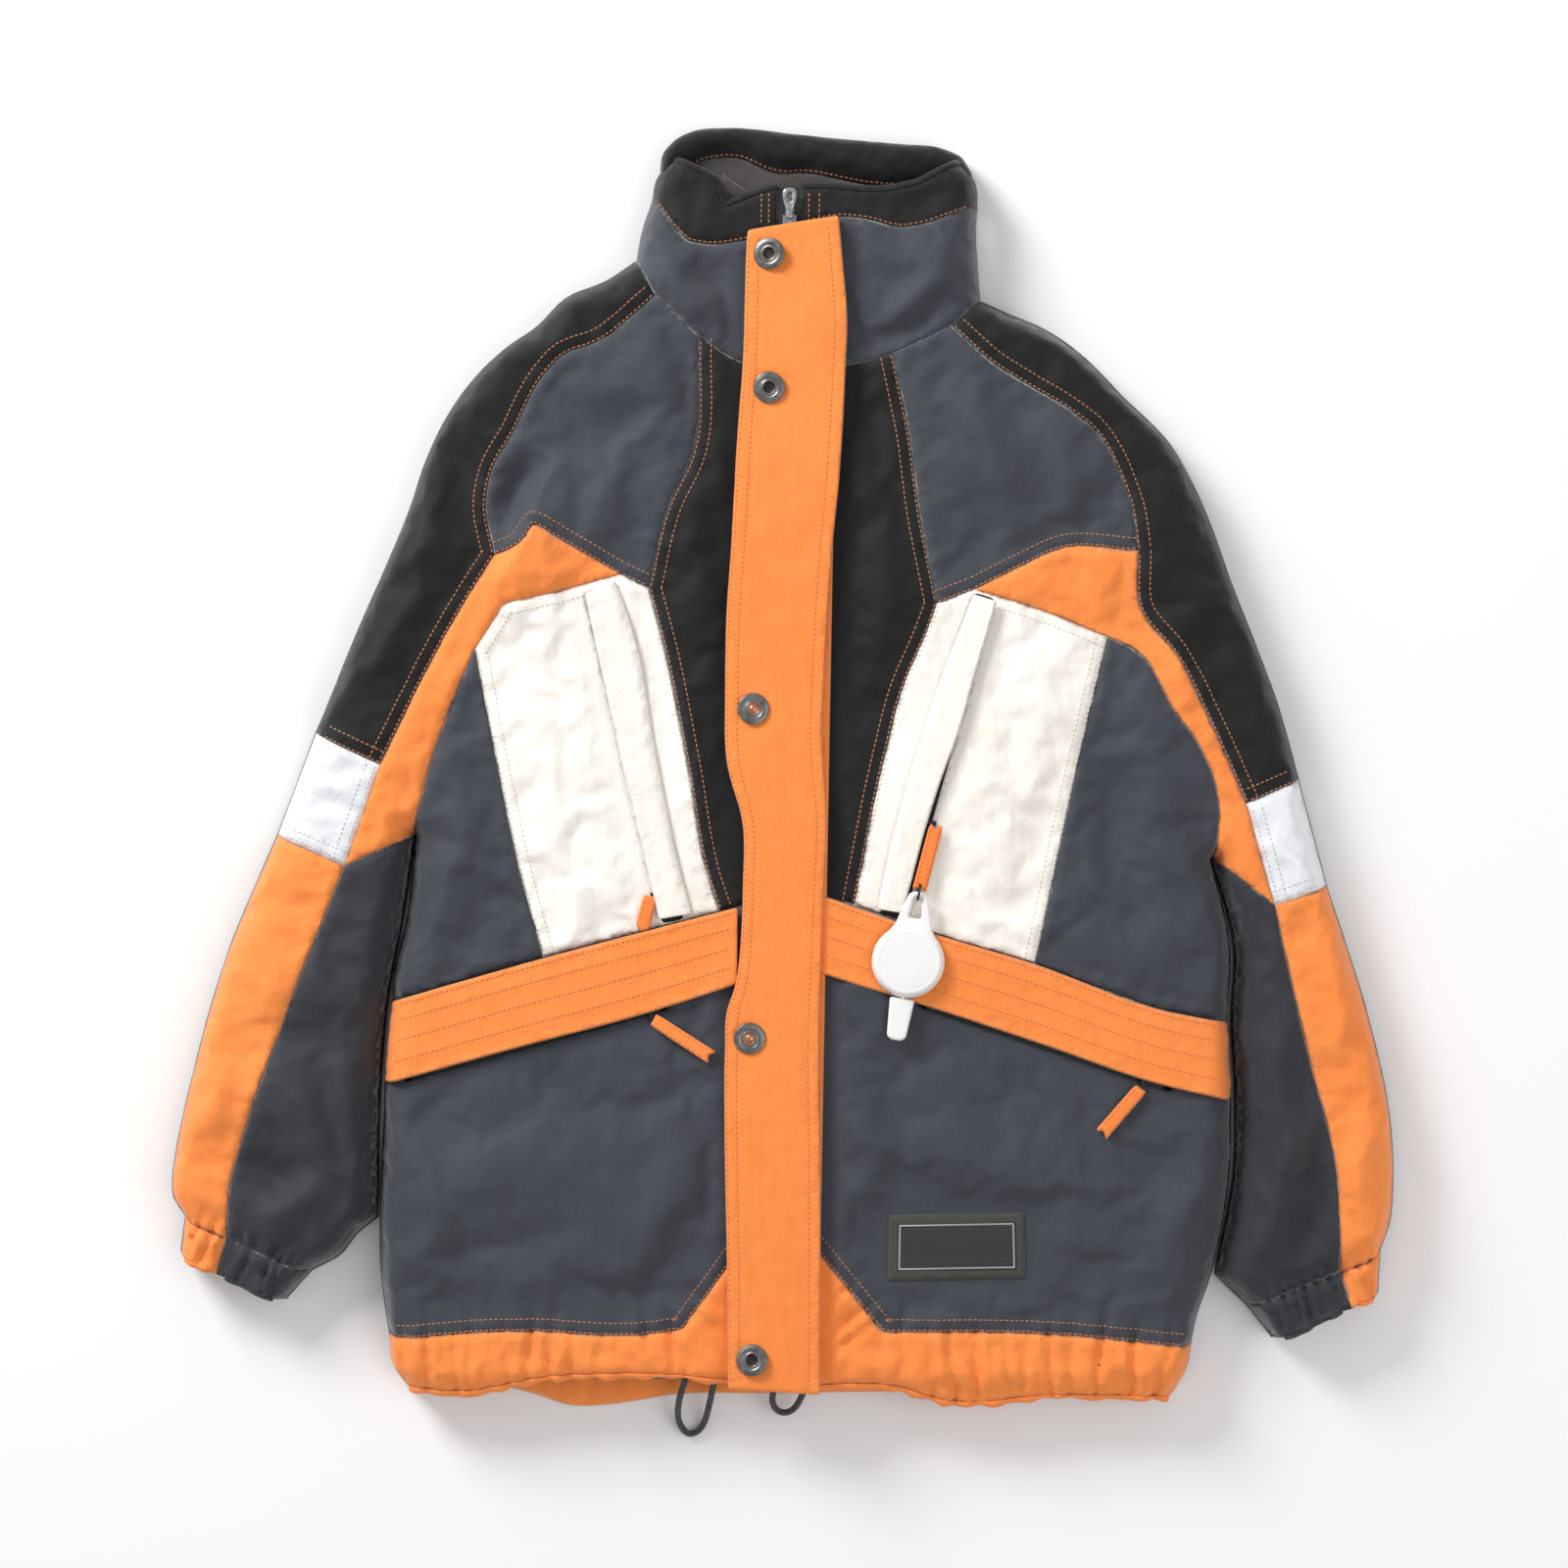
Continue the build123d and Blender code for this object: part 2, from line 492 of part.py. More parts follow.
# ---- collar: outer shell, turned-over band, wadding and fleece lining, each a ring round the neck ---
collar_whole = area(COLLAR_FRONT_TOP + COLLAR_NECK[::-1])
collar_front = collar_whole - front_slot_wide
band_front = area(COLLAR_BAND_SEAM + COLLAR_FRONT_TOP[::-1]) & collar_whole
COLLAR_SIDE = 400.0
COLLAR_FACING = 404.0
BAND_SIDE_LOW = 372.0
collar_flat = PANELS["collar"]
collar_sides = collar_flat & between(COLLAR_SIDE, 300)
zip_room = strip(ZIP_LOW, (ZIP_HIGH[0], ZIP_HIGH[1] + 40), -SLOT_HALF, SLOT_HALF)
collar_shell = plate(collar_whole - band_front - zip_room, FRONT_Z, FRONT_TOP)
collar_shell += plate(shell_wall & collar_flat & between(BAND_SIDE_LOW, 300), SHELL, FRONT_Z)
collar_shell += plate(collar_flat & between(COLLAR_SIDE, 300), 0, SHELL)
collar_band = plate(band_front - zip_room, FRONT_Z, FRONT_TOP)
collar_band += plate(shell_wall & collar_flat & between(410, BAND_SIDE_LOW), SHELL, FRONT_Z)
collar_band += plate(collar_flat & between(440, COLLAR_SIDE), 0, SHELL)
collar_band += plate((collar_flat & between(440, COLLAR_FACING)) - shell_wall, SHELL + LOFT, BACK_TOP)
COLLAR_PAD_TOP = 385.0
collar_pad = collar_front & between(COLLAR_PAD_TOP, 268)
collar_wadding = plate(collar_pad - shell_wall, WADDING_Z, FRONT_Z)
collar_wadding += plate(wadding_wall & collar_sides, SHELL + LOFT, WADDING_Z)
collar_wadding += plate((collar_flat & between(430, 300)) - shell_wall, SHELL, SHELL + LOFT)
collar_lining = plate(collar_pad - wadding_edge, LINING_Z, WADDING_Z)
collar_lining += plate(lining_wall & collar_sides, BACK_TOP, LINING_Z)
fleece_back = collar_flat & between(COLLAR_FACING, 300)
collar_lining += plate(fleece_back - wadding_edge, SHELL + LOFT, BACK_TOP)
add("collar_shell", *collar_shell.solids())
add("collar_band", *collar_band.solids())
add("collar_wadding", *collar_wadding.solids())
add("collar_lining", *collar_lining.solids())

LOOP_X, LOOP_Y = 20.0, 345.0
LOOP_LONG, LOOP_WIDE, LOOP_HIGH, LOOP_TAPE = 60.0, 6.0, 8.0, 1.0
loop = Pos(LOOP_X, LOOP_Y, BACK_TOP + LOOP_HIGH / 2) * Box(LOOP_LONG, LOOP_WIDE, LOOP_HIGH)
loop -= Pos(LOOP_X, LOOP_Y, BACK_TOP + LOOP_HIGH / 2 - LOOP_TAPE) * Box(LOOP_LONG - 10, 8, LOOP_HIGH)
add("hanger_loop", loop)

# ---- front zip, storm flap and snaps -----------------------------------------------------------------
add("front_zip_tapes", *front_zip.tapes())
zip_box = Pos(zip_x(ZIP_LOW[1]), ZIP_LOW[1] - 4.5, TAPE_Z + 0.5) * Box(9, 8, 5)
add("front_zip_teeth", *front_zip.chains(), zip_box)
add("front_zip_slider", front_zip.slider())
PULL_LOW = BRIDGE_TOP + 0.2
front_hinge = front_zip.rest()
front_tab = area([(front_hinge[0] - 4.5, front_hinge[1] + 3), (front_hinge[0] + 4.5, front_hinge[1] + 3),
                  (front_hinge[0] + 5.5, front_hinge[1] + 25), (front_hinge[0] - 5.5, front_hinge[1] + 25)])
front_tab -= area([(front_hinge[0] - 2, front_hinge[1] + 12), (front_hinge[0] + 2, front_hinge[1] + 12),
                   (front_hinge[0] + 3, front_hinge[1] + 21), (front_hinge[0] - 3, front_hinge[1] + 21)])
add("front_zip_pull", plate(front_tab, PULL_LOW, PULL_LOW + 1.4))

FLAP_EDGE = [(-24, 361), (-27, 274), (-35, 147.5), (-39, 47), (-38, 4), (-27, -39),
             (-27, -77), (-33, -149), (-39, -187), (-39, -275), (-37, -417)]
flap_flat = area([FLAP_HINGE_HIGH, *FLAP_EDGE, FLAP_HINGE_LOW])
add("storm_flap", plate(flap_flat, FLAP_Z, FLAP_TOP))
flap_root = strip((FLAP_HINGE_LOW[0], -410), FLAP_HINGE_HIGH, 1, 7)
add("storm_flap_root", plate(flap_root, FRONT_TOP, COVER_TOP))

studs, sockets, caps = [], [], []
for x, y in SNAP_XY:
    stud = Pos(x, y, FRONT_TOP) * extrude(Circle(5.5), amount=1.0)
    stud += Pos(x, y, FRONT_TOP + 1.0) * extrude(Circle(2.2), amount=2.4)
    studs.append(stud)
    socket = Pos(x, y, FLAP_Z - 2) * extrude(Circle(6.0) - Circle(2.6), amount=2.0)
    cap = Pos(x, y, FLAP_TOP) * extrude(Circle(SNAP_CAP_R), amount=1.5)
    cap -= Pos(x, y, FLAP_TOP + 0.7) * extrude(Circle(4.6) - Circle(2.4), amount=1.0)
    sockets.append(socket)
    caps.append(cap)
add("snap_studs", *studs)
add("snap_caps", *caps, *sockets)

# ---- pocket zips ---------------------------------------------------------------------------------------
tapes, chains = [], []
for pocket in POCKETS.values():
    tapes += pocket.tapes()
    chains += pocket.chains()
add("pocket_zips", *tapes, *chains)
PULL_LENGTHS = {"chest_right": 22.0, "chest_left": 47.0, "hand_right": 50.0, "hand_left": 42.0}
TAB_THICK = 1.5
for name, pocket in POCKETS.items():
    add(name + "_slider", pocket.slider())
    tab = pocket.pull(PULL_LENGTHS[name], PULL_LOW, PULL_LOW + TAB_THICK, pocket.pull_width)
    add(name + "_pull", tab)

# ---- pass reel on the left chest pull ---------------------------------------------------------------
reel_direction = (-0.156, -0.988)
REEL_ANGLE = math.degrees(math.atan2(reel_direction[0], -reel_direction[1]))
pull_direction, _ = along(chest_left.hinge(), chest_left.pull_to)
pull_tip = shift(chest_left.hinge(), pull_direction, PULL_LENGTHS["chest_left"])
REEL_Z = COVER_TOP + 0.8
REEL_THICK = 8.0
RING_R, RING_WIRE = 5.2, 0.8
ring_centre = shift(pull_tip, pull_direction, 0.2)
RING_Z = 47.4
eye = shift(ring_centre, pull_direction, -5.0)
nodes["chest_left_pull"][0] -= Pos(*eye, PULL_LOW - 1) * extrude(Circle(2.0), amount=5)


def reel_local(shape):
    return Pos(*ring_centre, 0) * Rot(0, 0, REEL_ANGLE) * shape


def plate_of(points, low, high):
    return plate(area(points), low, high)


ring = Rot(0, 90, 0) * Torus(RING_R, RING_WIRE)
add("reel_ring", Pos(*ring_centre, RING_Z) * Rot(0, 0, REEL_ANGLE) * ring)

CASE_Y, CASE_R, CASE_WALL = -47.0, 24.5, 1.3
hook = plate_of([(-5.5, -0.3), (5.5, -0.3), (9, -14), (14, -26), (-14, -26), (-9, -14)],
                  REEL_Z, REEL_Z + 3.2)
hook -= plate_of([(-2.5, -2.6), (2.5, -2.6), (4, -17), (-4, -17)], REEL_Z - 1, REEL_Z + 5)
drum = Pos(0, CASE_Y, REEL_Z) * extrude(Circle(CASE_R), amount=REEL_THICK)
drum = chamfer(drum.edges().group_by(Axis.Z)[-1], 1.6)
hollow = Pos(0, CASE_Y, REEL_Z + 1.2) * extrude(Circle(CASE_R - CASE_WALL), amount=REEL_THICK - 2.8)
mouth = Pos(0, CASE_Y - CASE_R, REEL_Z + 2.1) * Box(4, 6, 1.8)
case = hook + drum - hollow - mouth
add("reel_case", reel_local(case))
spool = Pos(0, CASE_Y, REEL_Z + 3.2) * extrude(Circle(17) - Circle(3.2), amount=2.8)
add("reel_spool", reel_local(spool))
STRAP_TOP = CASE_Y - CASE_R - 1.0
strap = plate_of([(-8.5, STRAP_TOP), (8.5, STRAP_TOP), (6.5, STRAP_TOP - 22), (3.5, STRAP_TOP - 28),
                    (-3.5, STRAP_TOP - 28), (-6.5, STRAP_TOP - 22)], REEL_Z + 1.2, REEL_Z + 3.2)
line = Pos(0, STRAP_TOP + 17, REEL_Z + 2.1) * Rot(90, 0, 0) * Cylinder(0.5, 38)
add("reel_strap", reel_local(strap + line))

# ---- sleeves below the arm seam ----------------------------------------------------------------------
CUT_CLEAR = 0.4
ARM_CUTS = {
    "right": chain("-r_patch_top", "-r_patch_inner", "-r_gusset_lower"),
    "left": chain("l_patch_top", "l_patch_inner", "l_gusset_lower"),
}


TIP_ROOM = 11.0  # room below the underarm gusset's tip, which the sleeve swings past
ARMPITS = {
    "right": (SEAMS["r_gusset_lower"][0], SEAMS["r_gusset_lower"][1], -1),
    "left": (SEAMS["l_gusset_lower"][1], SEAMS["l_gusset_lower"][0], 1),
}


def clear_of_torso(shape, side):
    armpit, tip, turn = ARMPITS[side]
    _, left = along(armpit, tip)
    room = area([shift(armpit, left, turn * CUT_CLEAR), tip, shift(tip, left, -turn * TIP_ROOM),
                 shift(armpit, left, -turn * 2)])
    cut = ribbon(ARM_CUTS[side], -CUT_CLEAR, CUT_CLEAR) + room
    return shape - plate(cut, -1, FRONT_TOP + 1)


for side in ("right", "left"):
    patch, outer, under = (PANELS[side + part] for part in ("_patch", "_outer", "_under"))
    cuff = PANELS[side + "_cuff"]
    flat = sleeve_flat[side]
    skin = plate(patch, FRONT_Z, FRONT_TOP) + plate(shell_wall & patch, SHELL, FRONT_Z)
    add(side + "_reflective_patch", clear_of_torso(skin, side))
    skin = plate(outer, FRONT_Z, FRONT_TOP) + plate(shell_wall & outer, SHELL, FRONT_Z)
    skin += plate(outer, 0, SHELL)
    add(side + "_sleeve_outer_panel", clear_of_torso(skin, side))
    skin = plate(under, FRONT_Z, FRONT_TOP) + plate(shell_wall & under, SHELL, FRONT_Z)
    skin += plate(under + patch, 0, SHELL)
    add(side + "_sleeve_under_panel", clear_of_torso(skin, side))
    padding = plate(flat - shell_wall, WADDING_Z, FRONT_Z)
    padding += plate(wadding_wall & flat, SHELL + LOFT, WADDING_Z)
    padding += plate(flat - shell_wall, SHELL, SHELL + LOFT)
    add(side + "_sleeve_wadding", clear_of_torso(padding, side))
    cuff_tube = plate(cuff, FRONT_Z - 2.5, FRONT_Z + 0.5) + plate(cuff, 1, 4)
    cuff_tube += plate(cuff_wall & cuff, 4, FRONT_Z - 2.5)
    add(side + "_cuff", cuff_tube)

# ---- badge and drawcord -------------------------------------------------------------------------------
badge = area([(71.6, -300.6), (162.7, -299.3), (163.4, -343.5), (71, -344.8)])
add("front_badge", plate(badge, FRONT_TOP, FRONT_TOP + 1.2))


def bend_radii(points):
    """Each corner's arc: 0.45 of its shorter run over the tangent of half the turn."""
    radii = []
    for before, here, after in zip(points, points[1:], points[2:]):
        first = Vector(*here) - Vector(*before)
        second = Vector(*after) - Vector(*here)
        turn = math.radians(first.get_angle(second))
        radii.append(0.45 * min(first.length, second.length) / math.tan(turn / 2))
    return radii


def cord(name, points):
    radii = bend_radii(points)
    path = FilletPolyline(*points, radius=radii)
    first = Vector(*points[1]) - Vector(*points[0])
    tube = sweep(Plane(origin=points[0], z_dir=first) * Circle(CORD_R), path=path)
    expected = math.pi * CORD_R**2 * path.length
    print(name, "length", round(path.length, 1), "radii", [round(r, 1) for r in radii],
          "volume share", round(tube.volume / expected, 3))
    add(name, tube)


CORD_FRONT_Z = 36.9
cord("hem_drawcord", [
    (-62, -399, CORD_FRONT_Z), (-120, -400, CORD_FRONT_Z), (-180, -399, CORD_FRONT_Z),
    (-232, -401, CORD_FRONT_Z), (-255, -401, 30), (-256, -402, 14), (-240, -404, 4.2),
    (-190, -405, 4.1), (-130, -410, 4.2), (-70, -412, 4.1), (-10, -410, 4.2), (50, -411, 4.1),
    (110, -410, 4.2), (170, -411, 4.1), (225, -408, 4.2), (252, -406, 6), (267, -405, 18),
    (262, -404, 31), (238, -404, CORD_FRONT_Z), (180, -402, CORD_FRONT_Z), (120, -403, CORD_FRONT_Z),
    (62, -401, CORD_FRONT_Z), (14, -402, CORD_FRONT_Z),
])
cord("drawcord_loop_right", [
    (-62, -400, 30.2), (-65, -412, 27.5), (-69, -424, 22), (-71.5, -436, 14), (-71, -447, 6.5),
    (-65, -456, 3.4), (-57, -453.5, 3.2), (-52.5, -445, 6.5), (-50, -434, 14.5), (-47.5, -422, 22),
    (-45.5, -411, 27), (-44, -400, 30),
])
cord("drawcord_loop_left", [
    (4, -400, 30.2), (-0.5, -410, 27.5), (-5.5, -420, 23), (-7.5, -430, 17), (-4.5, -437.5, 12.5),
    (2.5, -440, 11), (9, -435.5, 14), (13, -427, 19), (16.5, -417.5, 24), (19.5, -408, 28),
    (22, -399, 30.5),
])

# ---- output ---------------------------------------------------------------------------------------------
for name, solids in nodes.items():
    loose = [solid for item in solids for solid in item.solids()]
    export_step(Compound(label=name, children=loose), f"parts/{name}.step")
print(len(nodes), "nodes")
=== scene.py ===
import math
import random

import bpy
import bmesh
import numpy as np
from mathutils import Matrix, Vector, kdtree, noise
from mathutils.bvhtree import BVHTree
from mathutils.geometry import delaunay_2d_cdt


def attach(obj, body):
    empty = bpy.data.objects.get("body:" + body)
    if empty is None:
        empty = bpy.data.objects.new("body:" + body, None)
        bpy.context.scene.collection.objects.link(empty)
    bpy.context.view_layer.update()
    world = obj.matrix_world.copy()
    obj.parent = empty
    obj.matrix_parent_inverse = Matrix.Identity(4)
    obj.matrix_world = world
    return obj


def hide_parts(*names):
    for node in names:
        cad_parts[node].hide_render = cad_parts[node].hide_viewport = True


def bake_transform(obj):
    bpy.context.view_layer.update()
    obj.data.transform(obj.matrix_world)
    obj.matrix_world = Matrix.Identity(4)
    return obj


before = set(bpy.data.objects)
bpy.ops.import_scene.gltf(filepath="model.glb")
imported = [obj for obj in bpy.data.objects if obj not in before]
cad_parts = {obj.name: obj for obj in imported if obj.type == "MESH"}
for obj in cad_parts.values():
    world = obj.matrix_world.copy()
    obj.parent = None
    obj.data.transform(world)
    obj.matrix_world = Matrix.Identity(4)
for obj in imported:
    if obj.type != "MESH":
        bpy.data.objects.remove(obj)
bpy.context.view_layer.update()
random.seed(11)
MM = 0.001

# Lengths below are in millimetres in the row frame; meshes are scaled to metres when they are made.

# ---- heights --------------------------------------------------------------------------------------
FRONT_TOP = 41.0
COVER_TOP = 46.4  # the belt bands and the welts, which lie on the front
FLAP_Z, FLAP_TOP = 46.8, 50.3
EDGE_Z = 9.0  # height of the outline, where the front and back shells meet
EDGE_RUN = 27.0  # how far inside the outline the front is fully up

# ---- seams, shared by the pieces on both sides ----------------------------------------------------
ZIP_HIGH, ZIP_LOW = (5.0, 391.0), (-5.0, -399.0)
SLOT_HALF = 7.5


def zip_x(y):
    share = (y - ZIP_LOW[1]) / (ZIP_HIGH[1] - ZIP_LOW[1])
    return ZIP_LOW[0] + share * (ZIP_HIGH[0] - ZIP_LOW[0])


def edge_at(side, y):
    return (zip_x(y) + side * SLOT_HALF, y)


SEAMS = {
    "r_shoulder_edge": [(-100, 345), (-120, 332), (-148, 320), (-166, 302), (-190, 285), (-213, 262),
                        (-229, 239), (-242, 212), (-254, 177), (-289, 95), (-318, 24)],
    "r_neck_side": [(-86, 318), (-100, 345)],
    "r_neck_yoke": [(-56, 290), (-86, 318)],
    "r_neck_front": [edge_at(-1, 267), (-29, 274), (-56, 290)],
    "r_raglan": [(-86, 318), (-125, 287), (-148, 278), (-160, 266), (-182, 225), (-196, 200),
                 (-200, 180), (-194, 143.5)],
    "r_sleeve_front": [(-194, 143.5), (-219, 104), (-245, 55), (-271, 2)],
    "r_yoke_inner": [(-90, 121), (-76, 177), (-61, 209), (-56, 290)],
    "r_yoke_pocket": [(-109, 130), (-90, 121)],
    "r_yoke_chest": [(-194, 143.5), (-177, 150), (-167, 164), (-109, 130)],
    "r_pocket_top": [(-207, 80), (-187, 110), (-155, 117.5), (-109, 130)],
    "r_pocket_inner": [(-90, 121), (-79, 79), (-64, 4), (-49, -77), (-42, -97)],
    "r_pocket_outer": [(-161, -128), (-175, -77), (-194, 12), (-207, 80)],
    "r_gusset_inner": [(-207, 80), (-218, 55), (-237, 3), (-250, -46)],
    "r_gusset_lower": [(-250, -46), (-295, -66)],
    "r_patch_inner": [(-295, -66), (-271, 2)],
    "r_patch_top": [(-271, 2), (-318, 24)],
    "r_patch_outer": [(-318, 24), (-344, -45)],
    "r_patch_bottom": [(-344, -45), (-295, -66)],
    "r_body_edge_upper": [(-250, -46), (-256, -103), (-265, -143), (-266, -158)],
    "r_band_top": [(-266, -158), (-161, -128)],
    "r_band_pocket": [(-161, -128), (-131, -120), (-42, -97)],
    "r_band_front": [(-42, -97), edge_at(-1, -88)],
    "r_band_end": [(-266, -158), (-271, -214)],
    "r_body_edge_lower": [(-271, -214), (-272, -358), (-268, -385)],
    "r_hem_seam": [(-268, -385), (-175, -379), (-98, -382), (-68, -378.5), edge_at(-1, -301)],
    "r_hem_end": [(-268, -385), (-266, -407), (-259, -419)],
    "r_hem_bottom": [(-259, -419), (-212, -421), (-165, -412), (-79, -409.5), edge_at(-1, -416)],
    "r_sleeve_edge": [(-344, -45), (-378, -126), (-402, -209), (-413.5, -262), (-416, -281),
                      (-415, -293), (-407, -305)],
    "r_sleeve_split": [(-295, -66), (-325, -143), (-361, -241), (-371, -275), (-376, -318)],
    "r_cuff_outer": [(-407, -305), (-376, -318)],
    "r_cuff_inner": [(-376, -318), (-321, -342)],
    "r_cuff_edge": [(-407, -305), (-410, -330)],
    "r_cuff_low_outer": [(-410, -330), (-382.5, -342)],
    "r_cuff_low_inner": [(-382.5, -342), (-339, -362)],
    "r_cuff_split": [(-376, -318), (-382.5, -342)],
    "r_cuff_side": [(-339, -362), (-321, -342)],
    "r_sleeve_inner": [(-321, -342), (-300, -330), (-291, -318), (-276, -306), (-274, -214),
                       (-269, -158), (-259, -103), (-250, -46)],
    "l_shoulder_edge": [(351.5, -7.6), (342, 29), (308, 121), (279.5, 194), (265, 219.5), (232, 253),
                        (202, 283), (178.5, 299), (150, 311), (135, 318)],
    "l_neck_side": [(135, 318), (114, 298)],
    "l_neck_yoke": [(114, 298), (74, 279)],
    "l_neck_front": [(74, 279), (44, 271), edge_at(1, 267)],
    "l_raglan": [(239, 146), (233, 182), (221, 212), (212, 226), (196, 239), (165, 258), (140, 274),
                 (114, 298)],
    "l_sleeve_front": [(312.5, -24), (291, 25), (265, 76), (241, 108), (239, 146)],
    "l_yoke_inner": [(74, 279), (85, 226), (92, 173), (104, 110.5)],
    "l_yoke_pocket": [(104, 110.5), (129, 120)],
    "l_yoke_chest": [(129, 120), (161, 136), (188, 148), (239, 146)],
    "l_pocket_top": [(129, 120), (182, 103), (219, 88)],
    "l_pocket_inner": [(48.5, -92), (68, 4), (81.5, 55), (97, 91), (104, 110.5)],
    "l_pocket_outer": [(219, 88), (201, 12), (182, -76), (170, -132)],
    "l_gusset_inner": [(292, -62), (294, -21.5), (278, 19.5), (265, 37), (238, 79), (219, 88)],
    "l_gusset_lower": [(331.5, -92.6), (292, -62)],
    "l_patch_inner": [(312.5, -24), (331.5, -92.6)],
    "l_patch_top": [(351.5, -7.6), (312.5, -24)],
    "l_patch_outer": [(370.6, -79.5), (351.5, -7.6)],
    "l_patch_bottom": [(331.5, -92.6), (370.6, -79.5)],
    "l_body_edge_upper": [(303, -172), (304.6, -121), (292, -62)],
    "l_band_top": [(170, -132), (217.5, -150), (256, -163), (303, -172)],
    "l_band_pocket": [(48.5, -92), (97, -110), (170, -132)],
    "l_band_front": [edge_at(1, -80), (48.5, -92)],
    "l_band_end": [(305.6, -225), (303, -172)],
    "l_body_edge_lower": [(279, -391), (281, -378), (291, -347.5), (304.6, -274), (305.6, -225)],
    "l_hem_seam": [edge_at(1, -301), (68, -380), (145.5, -380), (198, -382.5), (279, -391)],
    "l_hem_end": [(268, -426), (276, -409), (279, -391)],
    "l_hem_bottom": [edge_at(1, -418), (79, -418.5), (105, -427), (186, -424), (268, -426)],
    "l_sleeve_edge": [(407.6, -328), (413.5, -311), (416, -284), (413.5, -235), (400, -173),
                      (370.6, -79.5)],
    "l_sleeve_split": [(331.5, -92.6), (353, -189), (371, -260), (377, -341)],
    "l_cuff_outer": [(377, -341), (407.6, -328)],
    "l_cuff_inner": [(316, -365), (377, -341)],
    "l_cuff_edge": [(407.6, -328), (405.6, -358)],
    "l_cuff_low_outer": [(405.6, -358), (383.5, -364)],
    "l_cuff_low_inner": [(383.5, -364), (334, -388)],
    "l_cuff_split": [(377, -341), (383.5, -364)],
    "l_cuff_side": [(334, -388), (316, -365)],
    "l_sleeve_inner": [(292, -62), (307.5, -121), (306, -172), (308.5, -225), (307.5, -274),
                       (294.5, -345), (316, -365)],
    "r_collar_side": [(-100, 345), (-96, 366), (-89, 387)],
    "r_collar_seam": [(-89, 387), (-81, 375), (-74, 365), (-63, 354), (-47, 352), (-26, 355),
                      edge_at(-1, 358)],
    "r_collar_zip": [edge_at(-1, 358), edge_at(-1, 267)],
    "r_band_side": [(-89, 387), (-86, 402), (-77, 413)],
    "r_band_edge": [(-77, 413), (-62, 405), (-45, 396), (-39, 378), (-20, 386), edge_at(-1, 391)],
    "r_band_zip": [edge_at(-1, 391), edge_at(-1, 358)],
    "l_collar_side": [(133, 381), (132, 366), (133, 345), (135, 318)],
    "l_collar_seam": [edge_at(1, 366), (39, 371), (59, 369), (78, 364), (94, 366), (133, 381)],
    "l_collar_zip": [edge_at(1, 267), edge_at(1, 366)],
    "l_band_side": [(124, 411), (132, 398), (133, 381)],
    "l_band_edge": [edge_at(1, 391), (30, 391), (68, 389), (94, 395), (110, 404), (124, 411)],
    "l_band_zip": [edge_at(1, 366), edge_at(1, 391)],
}

